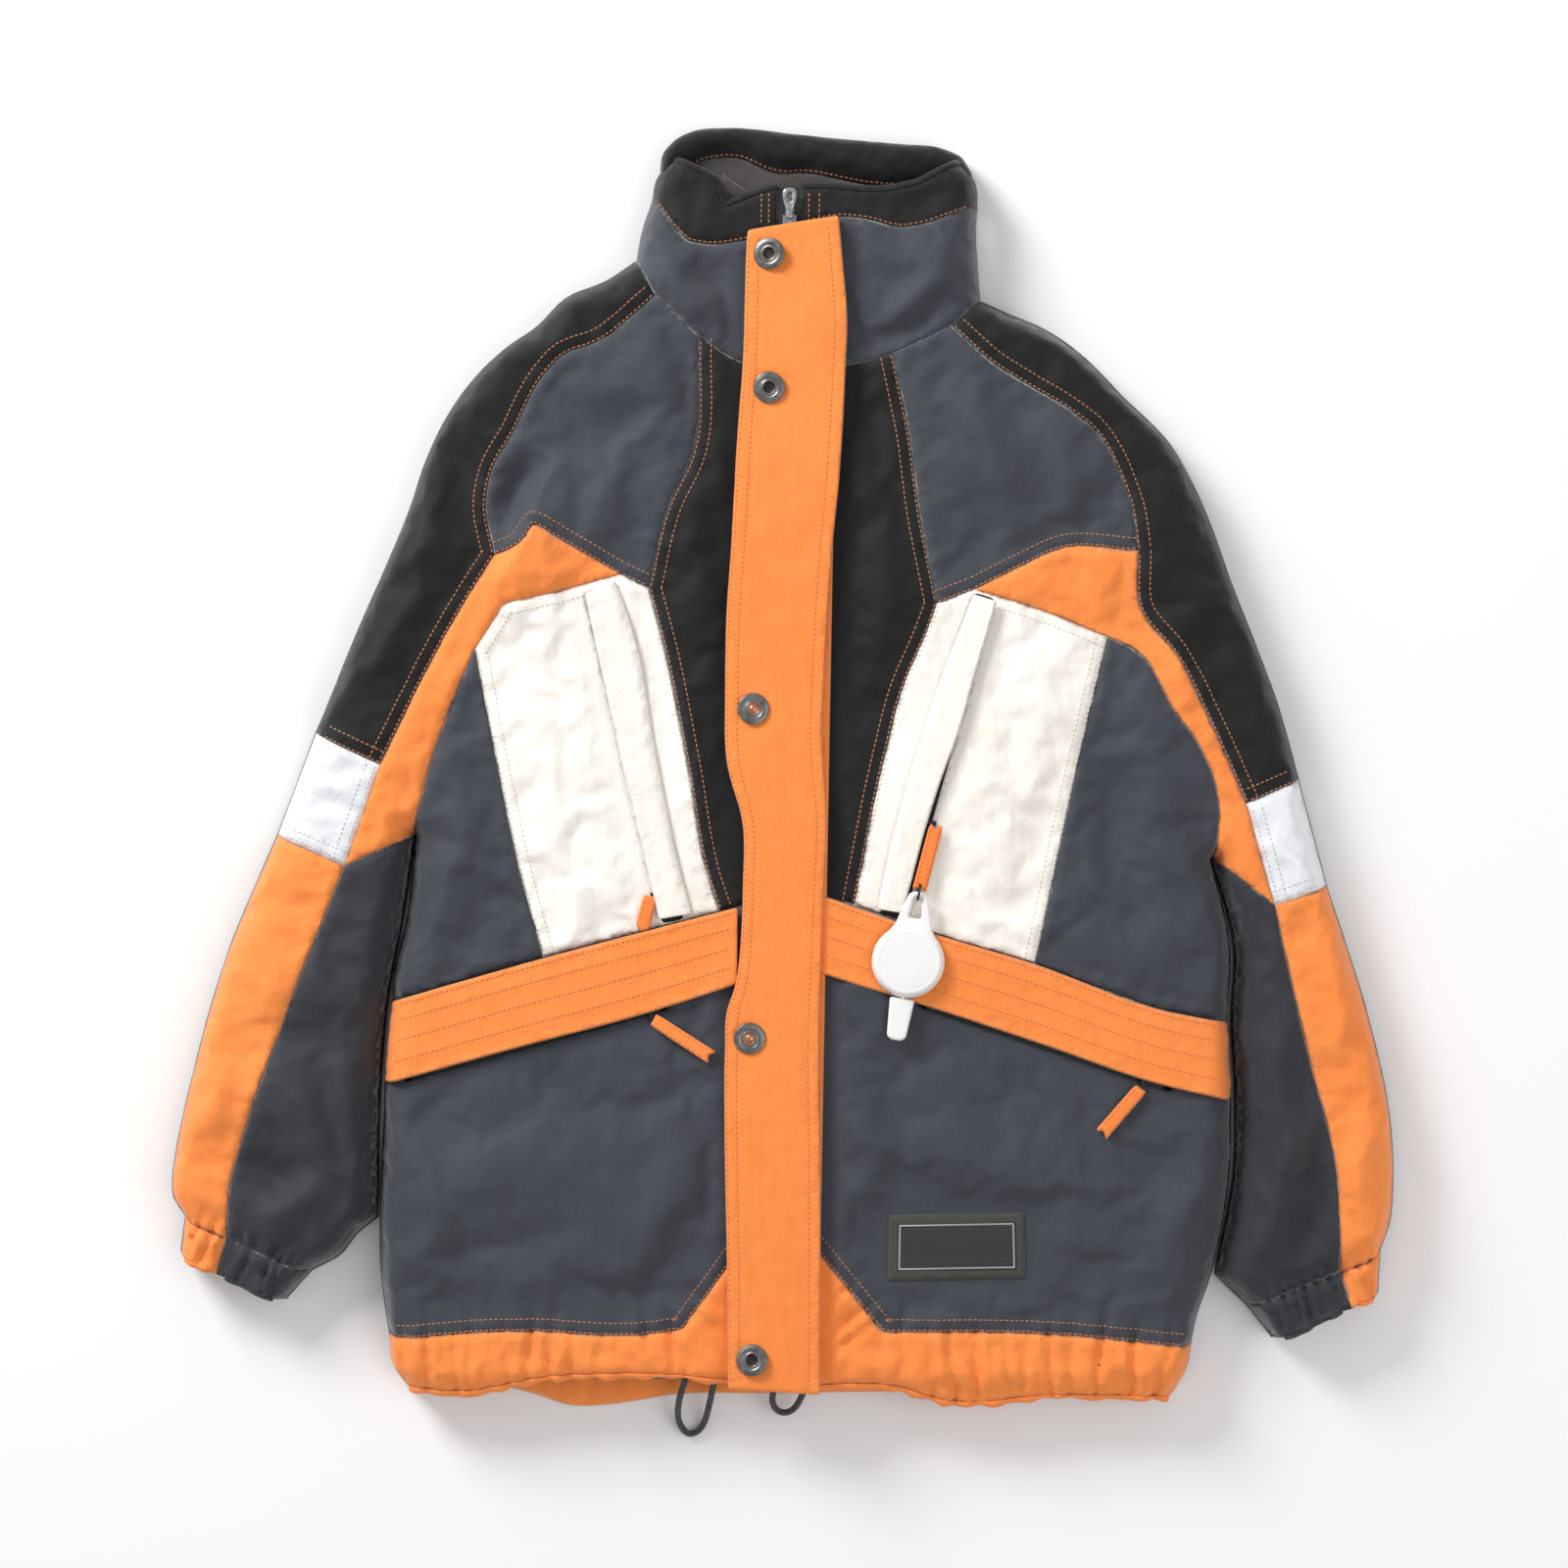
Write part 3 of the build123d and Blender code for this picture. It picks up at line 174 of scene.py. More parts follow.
# Each panel: the seams round it in order, the cloth, the CAD body that it goes with.
PANELS = {
    "right_shoulder": (["r_shoulder_edge", "-r_patch_top", "-r_sleeve_front", "-r_raglan", "r_neck_side"],
                       "black", "right"),
    "left_shoulder": (["l_shoulder_edge", "l_neck_side", "-l_raglan", "-l_sleeve_front", "-l_patch_top"],
                      "black", "left"),
    "right_yoke": (["r_raglan", "r_yoke_chest", "r_yoke_pocket", "r_yoke_inner", "r_neck_yoke"],
                   "slate", "torso"),
    "left_yoke": (["l_raglan", "l_neck_yoke", "l_yoke_inner", "l_yoke_pocket", "l_yoke_chest"],
                  "slate", "torso"),
    "right_pocket": (["r_pocket_inner", "-r_band_pocket", "r_pocket_outer", "r_pocket_top",
                      "r_yoke_pocket"], "white", "torso"),
    "left_pocket": (["l_pocket_inner", "l_yoke_pocket", "l_pocket_top", "l_pocket_outer",
                     "-l_band_pocket"], "white", "torso"),
    "right_chest": (["r_sleeve_front", "-r_patch_inner", "-r_gusset_lower", "-r_gusset_inner",
                     "r_pocket_top", "-r_yoke_chest"], "orange", "right"),
    "left_chest": (["l_sleeve_front", "-l_yoke_chest", "l_pocket_top", "-l_gusset_inner",
                    "-l_gusset_lower", "-l_patch_inner"], "orange", "left"),
    "right_centre": (["r_yoke_inner", "-r_neck_front", "-r_band_front", "-r_pocket_inner"],
                     "black", "torso"),
    "left_centre": (["l_pocket_inner", "-l_yoke_inner", "l_neck_front", "l_band_front"],
                    "black", "torso"),
    "right_side": (["r_gusset_inner", "r_body_edge_upper", "r_band_top", "r_pocket_outer"],
                   "slate", "torso"),
    "left_side": (["l_gusset_inner", "l_pocket_outer", "l_band_top", "l_body_edge_upper"],
                  "slate", "torso"),
    "right_lower": (["r_band_top", "r_band_pocket", "r_band_front", "-r_hem_seam",
                     "-r_body_edge_lower", "-r_band_end"], "slate", "torso"),
    "left_lower": (["l_band_front", "l_band_pocket", "l_band_top", "-l_band_end",
                    "-l_body_edge_lower", "-l_hem_seam"], "slate", "torso"),
    "right_hem": (["r_hem_seam", "-r_hem_bottom", "-r_hem_end"], "orange", "torso"),
    "left_hem": (["l_hem_seam", "-l_hem_end", "-l_hem_bottom"], "orange", "torso"),
    "right_patch": (["r_patch_outer", "r_patch_bottom", "r_patch_inner", "r_patch_top"],
                    "reflective", "right"),
    "left_patch": (["l_patch_outer", "l_patch_top", "l_patch_inner", "l_patch_bottom"],
                   "reflective", "left"),
    "right_outer": (["r_patch_bottom", "r_sleeve_split", "-r_cuff_outer", "-r_sleeve_edge"],
                    "orange", "right"),
    "left_outer": (["l_patch_bottom", "-l_sleeve_edge", "-l_cuff_outer", "-l_sleeve_split"],
                   "orange", "left"),
    # The sleeves' under panels and inner cuffs take the slate cloth darkened as painted shade.
    "right_under": (["r_sleeve_split", "r_cuff_inner", "r_sleeve_inner", "r_gusset_lower"],
                    "slate_painted_shade", "right"),
    "left_under": (["l_sleeve_split", "-l_cuff_inner", "-l_sleeve_inner", "-l_gusset_lower"],
                   "slate_painted_shade", "left"),
    "right_cuff_outer": (["r_cuff_outer", "r_cuff_split", "-r_cuff_low_outer", "-r_cuff_edge"],
                         "orange", "right"),
    "right_cuff_inner": (["r_cuff_inner", "-r_cuff_side", "-r_cuff_low_inner", "-r_cuff_split"],
                         "slate_painted_shade", "right"),
    "left_cuff_outer": (["l_cuff_outer", "l_cuff_edge", "l_cuff_low_outer", "-l_cuff_split"],
                        "orange", "left"),
    "left_cuff_inner": (["l_cuff_inner", "l_cuff_split", "l_cuff_low_inner", "l_cuff_side"],
                        "slate_painted_shade", "left"),
    "right_collar": (["r_neck_side", "r_collar_side", "r_collar_seam", "r_collar_zip",
                      "r_neck_front", "r_neck_yoke"], "slate", "torso"),
    "left_collar": (["l_collar_zip", "l_collar_seam", "l_collar_side", "l_neck_side", "l_neck_yoke",
                     "l_neck_front"], "slate", "torso"),
    "right_collar_band": (["r_collar_seam", "-r_band_zip", "-r_band_edge", "-r_band_side"],
                          "black", "torso"),
    "left_collar_band": (["l_collar_seam", "-l_band_side", "-l_band_edge", "-l_band_zip"],
                         "black", "torso"),
}

# The pocket zips' slots: ends of the zip's line and the side that a cover lies on.
POCKET_ZIPS = {
    "chest_right": ((-80, -98), (-129, 110), -1), "chest_left": ((81, -96), (139, 108), 1),
    "hand_right": ((-83, -162), (-250, -208), -1), "hand_left": ((97, -160.5), (256, -214), 1),
}
ZIP_INSET = 5.0
BAND_LINES = {
    "right": ([(-266, -158), (-161, -128), (-131, -120), (-30, -93.5)],
              [(-271, -214), (-181, -189), (-91, -165), (-30, -145.5)]),
    "left": ([(23, -84.5), (97, -110), (170, -132), (256, -163), (303, -172)],
             [(23, -137.5), (111, -165), (180, -188), (246.5, -211), (305.6, -225)]),
}


# ---- lines ----------------------------------------------------------------------------------------
def unit(a, b):
    d = np.subtract(b, a).astype(float)
    return d / np.hypot(*d)


def smooth_line(points, step=6.0):
    """Points along a smooth curve through the given ones. A turn of over 34 degrees stays sharp."""
    p = np.array(points, float)
    lengths = np.hypot(*(p[1:] - p[:-1]).T)
    chords = (p[1:] - p[:-1]) / lengths[:, None]
    line = [p[0]]
    for i, length in enumerate(lengths):
        tangents = []
        for other in (i - 1, i + 1):
            if 0 <= other < len(lengths) and chords[i] @ chords[other] > math.cos(math.radians(34)):
                a, b = lengths[i], lengths[other]
                tangents.append((chords[i] * b + chords[other] * a) / (a + b))
            else:
                tangents.append(chords[i])
        count = max(1, round(length / step))
        for k in range(1, count + 1):
            u = k / count
            line.append((2 * u**3 - 3 * u**2 + 1) * p[i] + (u**3 - 2 * u**2 + u) * length * tangents[0]
                        + (3 * u**2 - 2 * u**3) * p[i + 1] + (u**3 - u**2) * length * tangents[1])
    return np.array(line)


LINES = {name: smooth_line(points) for name, points in SEAMS.items()}


def joined(names, lines=LINES):
    """The points of several seams end to end, with no point twice."""
    found = []
    for name in names:
        line = lines[name.lstrip("-")]
        for p in line[::-1] if name.startswith("-") else line:
            if not found or math.dist(found[-1], p) > 0.01:
                found.append(tuple(p))
    if math.dist(found[0], found[-1]) < 0.01:
        found.pop()
    return np.array(found)


def dense(line, step=1.5):
    """The same line with points every step or less, and the arc length at each."""
    line = np.array(line, float)
    pieces, arcs, run = [line[:1]], [np.zeros(1)], 0.0
    for a, b in zip(line, line[1:]):
        length = math.dist(a, b)
        n = max(1, math.ceil(length / step))
        u = np.arange(1, n + 1) / n
        pieces.append(a + (b - a) * u[:, None])
        arcs.append(run + u * length)
        run += length
    return np.concatenate(pieces), np.concatenate(arcs)


def tree_of(lines):
    """A KD tree over dense points of several lines, with each point's arc length."""
    points, arcs = zip(*[dense(line) for line in lines])
    points, arcs = np.concatenate(points), np.concatenate(arcs)
    tree = kdtree.KDTree(len(points))
    for i, p in enumerate(points):
        tree.insert((p[0], p[1], 0), i)
    tree.balance()
    return tree, arcs


def nearest(tree, xy):
    """Distance to the tree's lines, and the index of the nearest point, for many points."""
    found = [tree.find((x, y, 0)) for x, y in xy]
    return np.array([f[2] for f in found]), np.array([f[1] for f in found])


def inside(polygon, xy):
    """Which points lie in a closed polygon."""
    x, y = xy[:, 0, None], xy[:, 1, None]
    x0, y0 = polygon[:, 0], polygon[:, 1]
    x1, y1 = np.roll(x0, -1), np.roll(y0, -1)
    crosses = (y0 > y) != (y1 > y)
    with np.errstate(divide="ignore", invalid="ignore"):
        at = x0 + (y - y0) * (x1 - x0) / (y1 - y0)
    return (crosses & (x < at)).sum(1) % 2 == 1


def slot_of(name, half=SLOT_HALF):
    start, end, cover = POCKET_ZIPS[name]
    d = unit(start, end)
    left = np.array([-d[1], d[0]])
    a = np.array(start) + left * cover * ZIP_INSET - d * 7
    b = np.array(end) + left * cover * ZIP_INSET + d * 7
    return np.array([a - left * half, b - left * half, b + left * half, a + left * half])


SLOTS = [slot_of(name) for name in POCKET_ZIPS]


# ---- heights of the front and back ----------------------------------------------------------------
def edge_lines(side):
    """The closed edges that a body's shell rounds down to."""
    s = side[0] + "_"
    return [LINES[s + k] for k in ("collar_side", "shoulder_edge", "patch_outer", "sleeve_edge",
                                   "cuff_edge")]


TORSO_EDGES = edge_lines("right") + edge_lines("left") + [
    LINES[s + k] for s in ("r_", "l_")
    for k in ("body_edge_upper", "band_end", "body_edge_lower", "hem_end", "band_side")]
EDGE_TREES = {
    "torso": tree_of(TORSO_EDGES)[0],
    "right": tree_of(edge_lines("right") + [LINES["r_sleeve_inner"], LINES["r_cuff_side"]])[0],
    "left": tree_of(edge_lines("left") + [LINES["l_sleeve_inner"], LINES["l_cuff_side"]])[0],
}
ARM_PANELS = ("patch", "outer", "under", "cuff_outer", "cuff_inner")


def edge_tree(panel):
    side, part = panel.split("_", 1)
    return EDGE_TREES[side if part in ARM_PANELS else "torso"]


def dome(d, run, low, high, square=2.5):
    t = np.clip(d / run, 0, 1)
    return low + (high - low) * (1 - (1 - t) ** square) ** (1 / 2.2)


def ridge(line, height, left, right, taper=0.35):
    return {"tree": tree_of([smooth_line(line, 4.0)]), "line": smooth_line(line, 4.0),
            "height": height, "left": left, "right": right, "taper": taper}


# Folds of the cloth: the line of each one's crest, its height, its width to the left and right.
FOLDS = [
    ridge([(-150, 214), (-160, 190), (-171, 163), (-186, 130), (-205, 90)], 5.0, 26, 7),
    ridge([(-166, 214), (-181, 186), (-187, 160)], -4.0, 9, 10),
    ridge([(-108, 205), (-124, 172), (-131, 138)], 2.6, 16, 9),
    ridge([(-92, 250), (-112, 228), (-140, 216)], -2.0, 12, 16),
    ridge([(-96, 300), (-90, 270), (-72, 240)], 2.2, 14, 10),
    ridge([(-252, 215), (-240, 160), (-222, 118)], 3.0, 12, 18),
    ridge([(-236, 250), (-215, 190), (-212, 150)], -2.5, 12, 14),
    ridge([(-285, 60), (-262, 90), (-232, 128)], 2.4, 10, 16),
    ridge([(110, 262), (130, 232), (150, 180), (158, 150)], 3.4, 18, 10),
    ridge([(172, 240), (190, 205), (196, 165)], 3.0, 20, 12),
    ridge([(226, 190), (252, 150), (262, 110)], 3.4, 14, 16),
    ridge([(285, 130), (270, 80), (282, 40)], 2.4, 14, 14),
    ridge([(-228, 20), (-214, -40), (-224, -110)], 2.4, 22, 16),
    ridge([(232, 60), (252, 0), (262, -80)], 2.8, 20, 20),
    ridge([(212, 30), (226, -50), (236, -130)], -2.2, 16, 18),
    ridge([(-250, -300), (-190, -268), (-120, -262)], 2.6, 20, 26),
    ridge([(-262, -240), (-232, -300), (-238, -362)], 2.6, 14, 20),
    ridge([(-120, -352), (-82, -300), (-62, -240)], 2.8, 20, 14),
    ridge([(70, -250), (130, -262), (205, -292)], 2.2, 22, 20),
    ridge([(294, -262), (262, -310), (255, -366)], 3.0, 16, 14),
    ridge([(44, -200), (58, -262), (40, -318)], 2.0, 14, 16),
    ridge([(-322, -120), (-306, -150), (-285, -166)], 3.0, 8, 14),
    ridge([(-352, -190), (-322, -226), (-306, -268), (-282, -284)], 4.6, 9, 18),
    ridge([(-352, -312), (-332, -292), (-306, -280)], 5.0, 9, 14),
    ridge([(-362, -262), (-338, -276), (-330, -306)], -3.4, 10, 12),
    ridge([(-296, -190), (-288, -240), (-282, -292)], 3.0, 12, 10),
    ridge([(-398, -250), (-384, -228), (-380, -190)], 2.4, 12, 12),
    ridge([(-352, -92), (-340, -130), (-352, -175)], 2.2, 14, 12),
    ridge([(342, -150), (330, -210), (340, -272)], 3.6, 14, 14),
    ridge([(356, -230), (332, -280), (318, -330)], 3.6, 10, 16),
    ridge([(366, -268), (352, -316), (330, -345)], -3.0, 9, 10),
    ridge([(398, -230), (388, -262), (392, -306)], 2.6, 12, 12),
    ridge([(360, -108), (378, -150), (372, -200)], 2.2, 12, 12),
    ridge([(-88, 352), (-66, 322), (-34, 292)], 3.6, 12, 16),
    ridge([(-60, 345), (-38, 318), (-24, 300)], -2.2, 10, 12),
    ridge([(124, 352), (96, 322), (56, 292)], 3.4, 14, 12),
    ridge([(116, 322), (84, 298), (50, 284)], -2.6, 8, 8),
    ridge([(50, 352), (80, 344), (122, 352)], 2.2, 14, 12),
    ridge([(-70, 60), (-58, 10), (-52, -50)], 1.6, 10, 10),
    ridge([(60, 190), (70, 120), (58, 40)], 2.0, 12, 12),
    ridge([(-46, 200), (-62, 150), (-52, 90)], 1.8, 12, 12),
]


def fold_height(xy):
    """The folds' height at each point. A fold fades towards its two ends."""
    total = np.zeros(len(xy))
    for fold in FOLDS:
        low = fold["line"].min(0) - 50
        high = fold["line"].max(0) + 50
        near = np.where(((xy > low) & (xy < high)).all(1))[0]
        if not len(near):
            continue
        tree, arcs = fold["tree"]
        points, _ = dense(fold["line"])
        d, index = nearest(tree, xy[near])
        ahead = points[np.minimum(index + 1, len(points) - 1)] - points[np.maximum(index - 1, 0)]
        to = xy[near] - points[index]
        side = ahead[:, 0] * to[:, 1] - ahead[:, 1] * to[:, 0]
        width = np.where(side > 0, fold["left"], fold["right"])
        share = arcs[index] / arcs.max()
        fade = np.clip(np.minimum(share, 1 - share) / fold["taper"], 0, 1)
        total[near] += fold["height"] * fade**0.8 * np.exp(-((d / width) ** 2))
    return total


def waves(xy, size, seed, rough=0.5):
    """Smooth seeded noise, from -1 to 1, with features about size across."""
    return np.array([noise.fractal((x / size + seed, y / size - seed, seed * 0.37), rough, 2.0, 3)
                     for x, y in xy])


BADGE_AT = (117.0, -322.0)


def flat_zone(xy):
    """1 where the cloth is free, 0 where the zips, the flap and the covers hold it flat."""
    free = np.clip((np.abs(xy[:, 0] - 0.0127 * xy[:, 1]) - 34) / 14, 0, 1)
    for name in POCKET_ZIPS:
        start, end, cover = POCKET_ZIPS[name]
        d = unit(start, end)
        left = np.array([-d[1], d[0]])
        to = xy - np.array(start)
        length = math.dist(start, end)
        along = np.clip(to @ d, -8, length + 8)
        across = (to - along[:, None] * d) @ left * cover
        beyond = np.abs(to @ d - along)
        distance = np.hypot(np.maximum(np.abs(across - 6) - 14, 0), beyond)
        free = np.minimum(free, np.clip(distance / 16, 0, 1))
    beyond = np.maximum(np.abs(xy - np.array(BADGE_AT)) - np.array([46.0, 22.0]), 0)
    free = np.minimum(free, 0.15 + 0.85 * np.clip(np.hypot(*beyond.T) / 18, 0, 1))
    return free * free * (3 - 2 * free)


PLEAT_LINES = {
    "hem": (["r_hem_seam", "l_hem_seam", "r_hem_bottom", "l_hem_bottom"], 25.0, 3.4, 20.0),
    "cuff": (["r_cuff_outer", "r_cuff_inner", "l_cuff_outer", "l_cuff_inner"], 9.5, 3.2, 30.0),
}


def pleat_height(xy):
    """Gathers that run out of the hem and the cuffs."""
    total = np.zeros(len(xy))
    for seed, (names, pitch, height, reach) in enumerate(PLEAT_LINES.values()):
        tree, arcs = tree_of([LINES[n] for n in names])
        d, index = nearest(tree, xy)
        u = arcs[index] / pitch
        u = u + 0.9 * np.array([noise.noise((a * 0.7, 3.7 * seed, 0)) for a in u])
        pleat = np.abs(np.sin(math.pi * u)) ** 0.6 - 0.55
        total += height * pleat * np.exp(-((d / reach) ** 2))
    return total


def hem_droop(xy):
    """The front's hem sinks at its bottom edge."""
    return -8.0 * np.clip((-404 - xy[:, 1]) / 18, 0, 1) ** 1.5


CUFF_LINES = tree_of([LINES[s + k] for s in ("r_", "l_") for k in ("cuff_outer", "cuff_inner")])[0]


def cuff_droop(xy):
    """The cuffs' elastic pulls them in and down."""
    d, _ = nearest(CUFF_LINES, xy)
    in_cuff = np.zeros(len(xy), bool)
    for name in ("right_cuff_outer", "right_cuff_inner", "left_cuff_outer", "left_cuff_inner"):
        in_cuff |= inside(joined(PANELS[name][0]), xy)
    near = np.exp(-((d / 14) ** 2))
    return np.where(in_cuff, -9.0 + 2.0 * near, -8.0 * near)


def front_height(xy, panel_edges):
    """The front's height at points whose distances from the closed edges are given."""
    up = dome(panel_edges, EDGE_RUN, EDGE_Z, FRONT_TOP)
    share = np.clip((panel_edges - 4) / 22, 0, 1)
    relief = 2.3 * fold_height(xy) + 2.4 * waves(xy, 110, 3.1) + 1.2 * waves(xy, 42, 8.2)
    free = flat_zone(xy)
    soft = pleat_height(xy) * (0.3 + 0.7 * share) * free + cuff_droop(xy) * share
    return up + relief * share * free + soft + hem_droop(xy)


# ---- front mesh -----------------------------------------------------------------------------------
STEP = 5.4


def grid_points(polygon, keep_off, step=STEP):
    """A jittered triangular grid inside a polygon, clear of its edge and of other lines."""
    low, high = polygon.min(0), polygon.max(0)
    rows = np.arange(math.floor(low[1] / (step * 0.866)), math.ceil(high[1] / (step * 0.866)) + 1)
    columns = np.arange(math.floor(low[0] / step) - 1, math.ceil(high[0] / step) + 1)
    xy = np.array([((c + 0.5 * (r % 2)) * step, r * step * 0.866) for r in rows for c in columns])
    rng = np.random.default_rng(5)
    xy += rng.uniform(-0.12, 0.12, xy.shape) * step
    xy = xy[inside(polygon, xy)]
    tree, _ = tree_of([np.vstack([polygon, polygon[:1]])] + keep_off)
    d, _ = nearest(tree, xy)
    return xy[d > 0.6 * step]


def triangulated(polygon, slots, step=STEP):
    """Points and triangles filling a polygon, with the slots left open."""
    cuts, ends = [], []
    for slot in slots:
        loop = [dense([a, b], step)[0][:-1] for a, b in zip(slot, np.roll(slot, -1, 0))]
        loop = np.concatenate(loop)
        if inside(polygon, loop).any():
            cuts.append(slot)
            ends.append(loop)
    free = grid_points(polygon, [np.vstack([e, e[:1]]) for e in ends], step)
    points = [*polygon]
    edges = []
    for loop in ends:
        kept = inside(polygon, loop)
        first = len(points)
        numbers = {}
        for i in np.where(kept)[0]:
            numbers[i] = first + len(numbers)
            points.append(loop[i])
        edges += [(numbers[i], numbers[(i + 1) % len(loop)]) for i in numbers
                  if (i + 1) % len(loop) in numbers]
    points += [*free]
    made = delaunay_2d_cdt([Vector(p) for p in points], edges, [list(range(len(polygon)))], 1, 1e-4)
    xy = np.array([tuple(v) for v in made[0]])
    faces = np.array([f for f in made[2] if len(f) == 3])
    centres = xy[faces].mean(1)
    keep = np.ones(len(faces), bool)
    for slot in cuts:
        keep &= ~inside(slot, centres)
    return xy, faces[keep]


def build_front():
    """All the front panels in one welded mesh: points, triangles, each triangle's panel."""
    lookup, points, faces, labels, edge = {}, [], [], [], []
    for number, (name, (seams, _, _)) in enumerate(PANELS.items()):
        xy, triangles = triangulated(joined(seams), SLOTS)
        d, _ = nearest(edge_tree(name), xy)
        numbers = []
        for p, distance in zip(xy, d):
            key = (round(p[0], 2), round(p[1], 2))
            if key not in lookup:
                lookup[key] = len(points)
                points.append(p)
                edge.append([])
            numbers.append(lookup[key])
            edge[lookup[key]].append(distance)
        faces += [[numbers[i] for i in t] for t in triangles]
        labels += [number] * len(triangles)
    distance = np.array([np.mean(e) for e in edge])
    return np.array(points), faces, labels, distance


front_xy, front_faces, front_labels, front_edge = build_front()
front_z = front_height(front_xy, front_edge)
SEAM_TREE, SEAM_ARCS = tree_of(list(LINES.values()))
CORNER_TREE = kdtree.KDTree(2 * len(LINES))
for i, line in enumerate(LINES.values()):
    CORNER_TREE.insert((*line[0], 0), 2 * i)
    CORNER_TREE.insert((*line[-1], 0), 2 * i + 1)
CORNER_TREE.balance()


def new_mesh(name, points, faces, smooth=True):
    mesh = bpy.data.meshes.new(name)
    mesh.from_pydata([tuple(p) for p in points], [], [list(f) for f in faces])
    mesh.validate()
    if smooth:
        mesh.shade_smooth()
    obj = bpy.data.objects.new(name, mesh)
    bpy.context.scene.collection.objects.link(obj)
    return obj


def apply_modifiers(obj):
    depsgraph = bpy.context.evaluated_depsgraph_get()
    mesh = bpy.data.meshes.new_from_object(obj.evaluated_get(depsgraph))
    old, name = obj.data, obj.data.name
    obj.modifiers.clear()
    obj.data = mesh
    bpy.data.meshes.remove(old)
    mesh.name = name
    return obj


def coordinates(obj):
    co = np.zeros(len(obj.data.vertices) * 3)
    obj.data.vertices.foreach_get("co", co)
    return co.reshape(-1, 3)


def set_coordinates(obj, co):
    obj.data.vertices.foreach_set("co", np.asarray(co, np.float32).ravel())
    obj.data.update()


front = new_mesh("front", np.column_stack([front_xy, front_z]) * MM, front_faces)
front.data.polygons.foreach_set("material_index", front_labels)


def simulate(obj, hold, frames=18, cap=6.0, grow=0.028, pressure=1.6):
    """Puffs a shell and lets its spare cloth wrinkle between the seams, then keeps the shape."""
    rest = coordinates(obj)
    group = obj.vertex_groups.new(name="held")
    for i, weight in enumerate(hold):
        if weight > 0.02:
            group.add([i], float(weight), "REPLACE")
    cloth = obj.modifiers.new("Cloth", "CLOTH")
    cloth.settings.quality = 4
    cloth.settings.mass = 0.3
    cloth.settings.tension_stiffness = 14
    cloth.settings.compression_stiffness = 14
    cloth.settings.shear_stiffness = 6
    cloth.settings.bending_stiffness = 1.6
    cloth.settings.air_damping = 4
    cloth.settings.shrink_min = -grow
    cloth.settings.use_pressure = True
    cloth.settings.uniform_pressure_force = pressure
    cloth.settings.vertex_group_mass = "held"
    cloth.settings.pin_stiffness = 6
    cloth.settings.effector_weights.gravity = 0
    cloth.collision_settings.use_collision = False
    scene = bpy.context.scene
    cloth.point_cache.frame_start = 1
    cloth.point_cache.frame_end = frames
    for f in range(1, frames + 1):
        scene.frame_set(f)
    depsgraph = bpy.context.evaluated_depsgraph_get()
    found = coordinates(obj.evaluated_get(depsgraph))
    obj.modifiers.clear()
    obj.vertex_groups.clear()
    scene.frame_set(1)
    moved = found - rest
    moved[~np.isfinite(moved).all(1)] = 0
    length = np.maximum(np.linalg.norm(moved, axis=1), 1e-9)
    room = cap * MM * (1 - np.asarray(hold))
    moved *= (room * np.tanh(length / np.maximum(room, 1e-7)) / length)[:, None]
    set_coordinates(obj, rest + moved)
    print(obj.name, "simulated; mean move mm", round(float(np.linalg.norm(moved, axis=1).mean() / MM), 2))


def seam_distance(xy):
    d, index = nearest(SEAM_TREE, xy)
    return d, SEAM_ARCS[index]


free = flat_zone(front_xy)
seam_d = seam_distance(front_xy)[0]
hold = np.clip(1 - seam_d / 6, 0, 1) * 0.85
hold = np.maximum(hold, 1 - free)
hold = np.maximum(hold, np.clip(1 - front_edge / 9, 0, 1))
simulate(front, hold)


def subdivided(obj, levels=1):
    bm = bmesh.new()
    bm.from_mesh(obj.data)
    limit = math.radians(40)
    bmesh.ops.join_triangles(bm, faces=bm.faces, cmp_materials=True, angle_face_threshold=limit,
                             angle_shape_threshold=limit)
    crease = bm.edges.layers.float.new("crease_edge")
    for e in bm.edges:
        if len({f.material_index for f in e.link_faces}) > 1:
            e[crease] = 1.0
    bm.to_mesh(obj.data)
    bm.free()
    modifier = obj.modifiers.new("Subdivision", "SUBSURF")
    modifier.levels = modifier.render_levels = levels
    modifier.boundary_smooth = "PRESERVE_CORNERS"
    return apply_modifiers(obj)


subdivided(front)


# ---- seam relief and pucker -----------------------------------------------------------------------

def add_attribute(obj, name, values):
    attribute = obj.data.attributes.get(name) or obj.data.attributes.new(name, "FLOAT", "POINT")
    attribute.data.foreach_set("value", np.asarray(values, np.float32))


GATHERS = [
    # the seam, the panel it gathers, the space between creases and their depth in mm
    ("r_hem_seam", "right_hem", 17.0, 3.0), ("l_hem_seam", "left_hem", 17.0, 3.0),
    ("r_cuff_outer", "right_cuff_outer", 8.5, 3.2), ("r_cuff_inner", "right_cuff_inner", 8.5, 3.6),
    ("l_cuff_outer", "left_cuff_outer", 8.5, 3.2), ("l_cuff_inner", "left_cuff_inner", 8.5, 3.6),
]


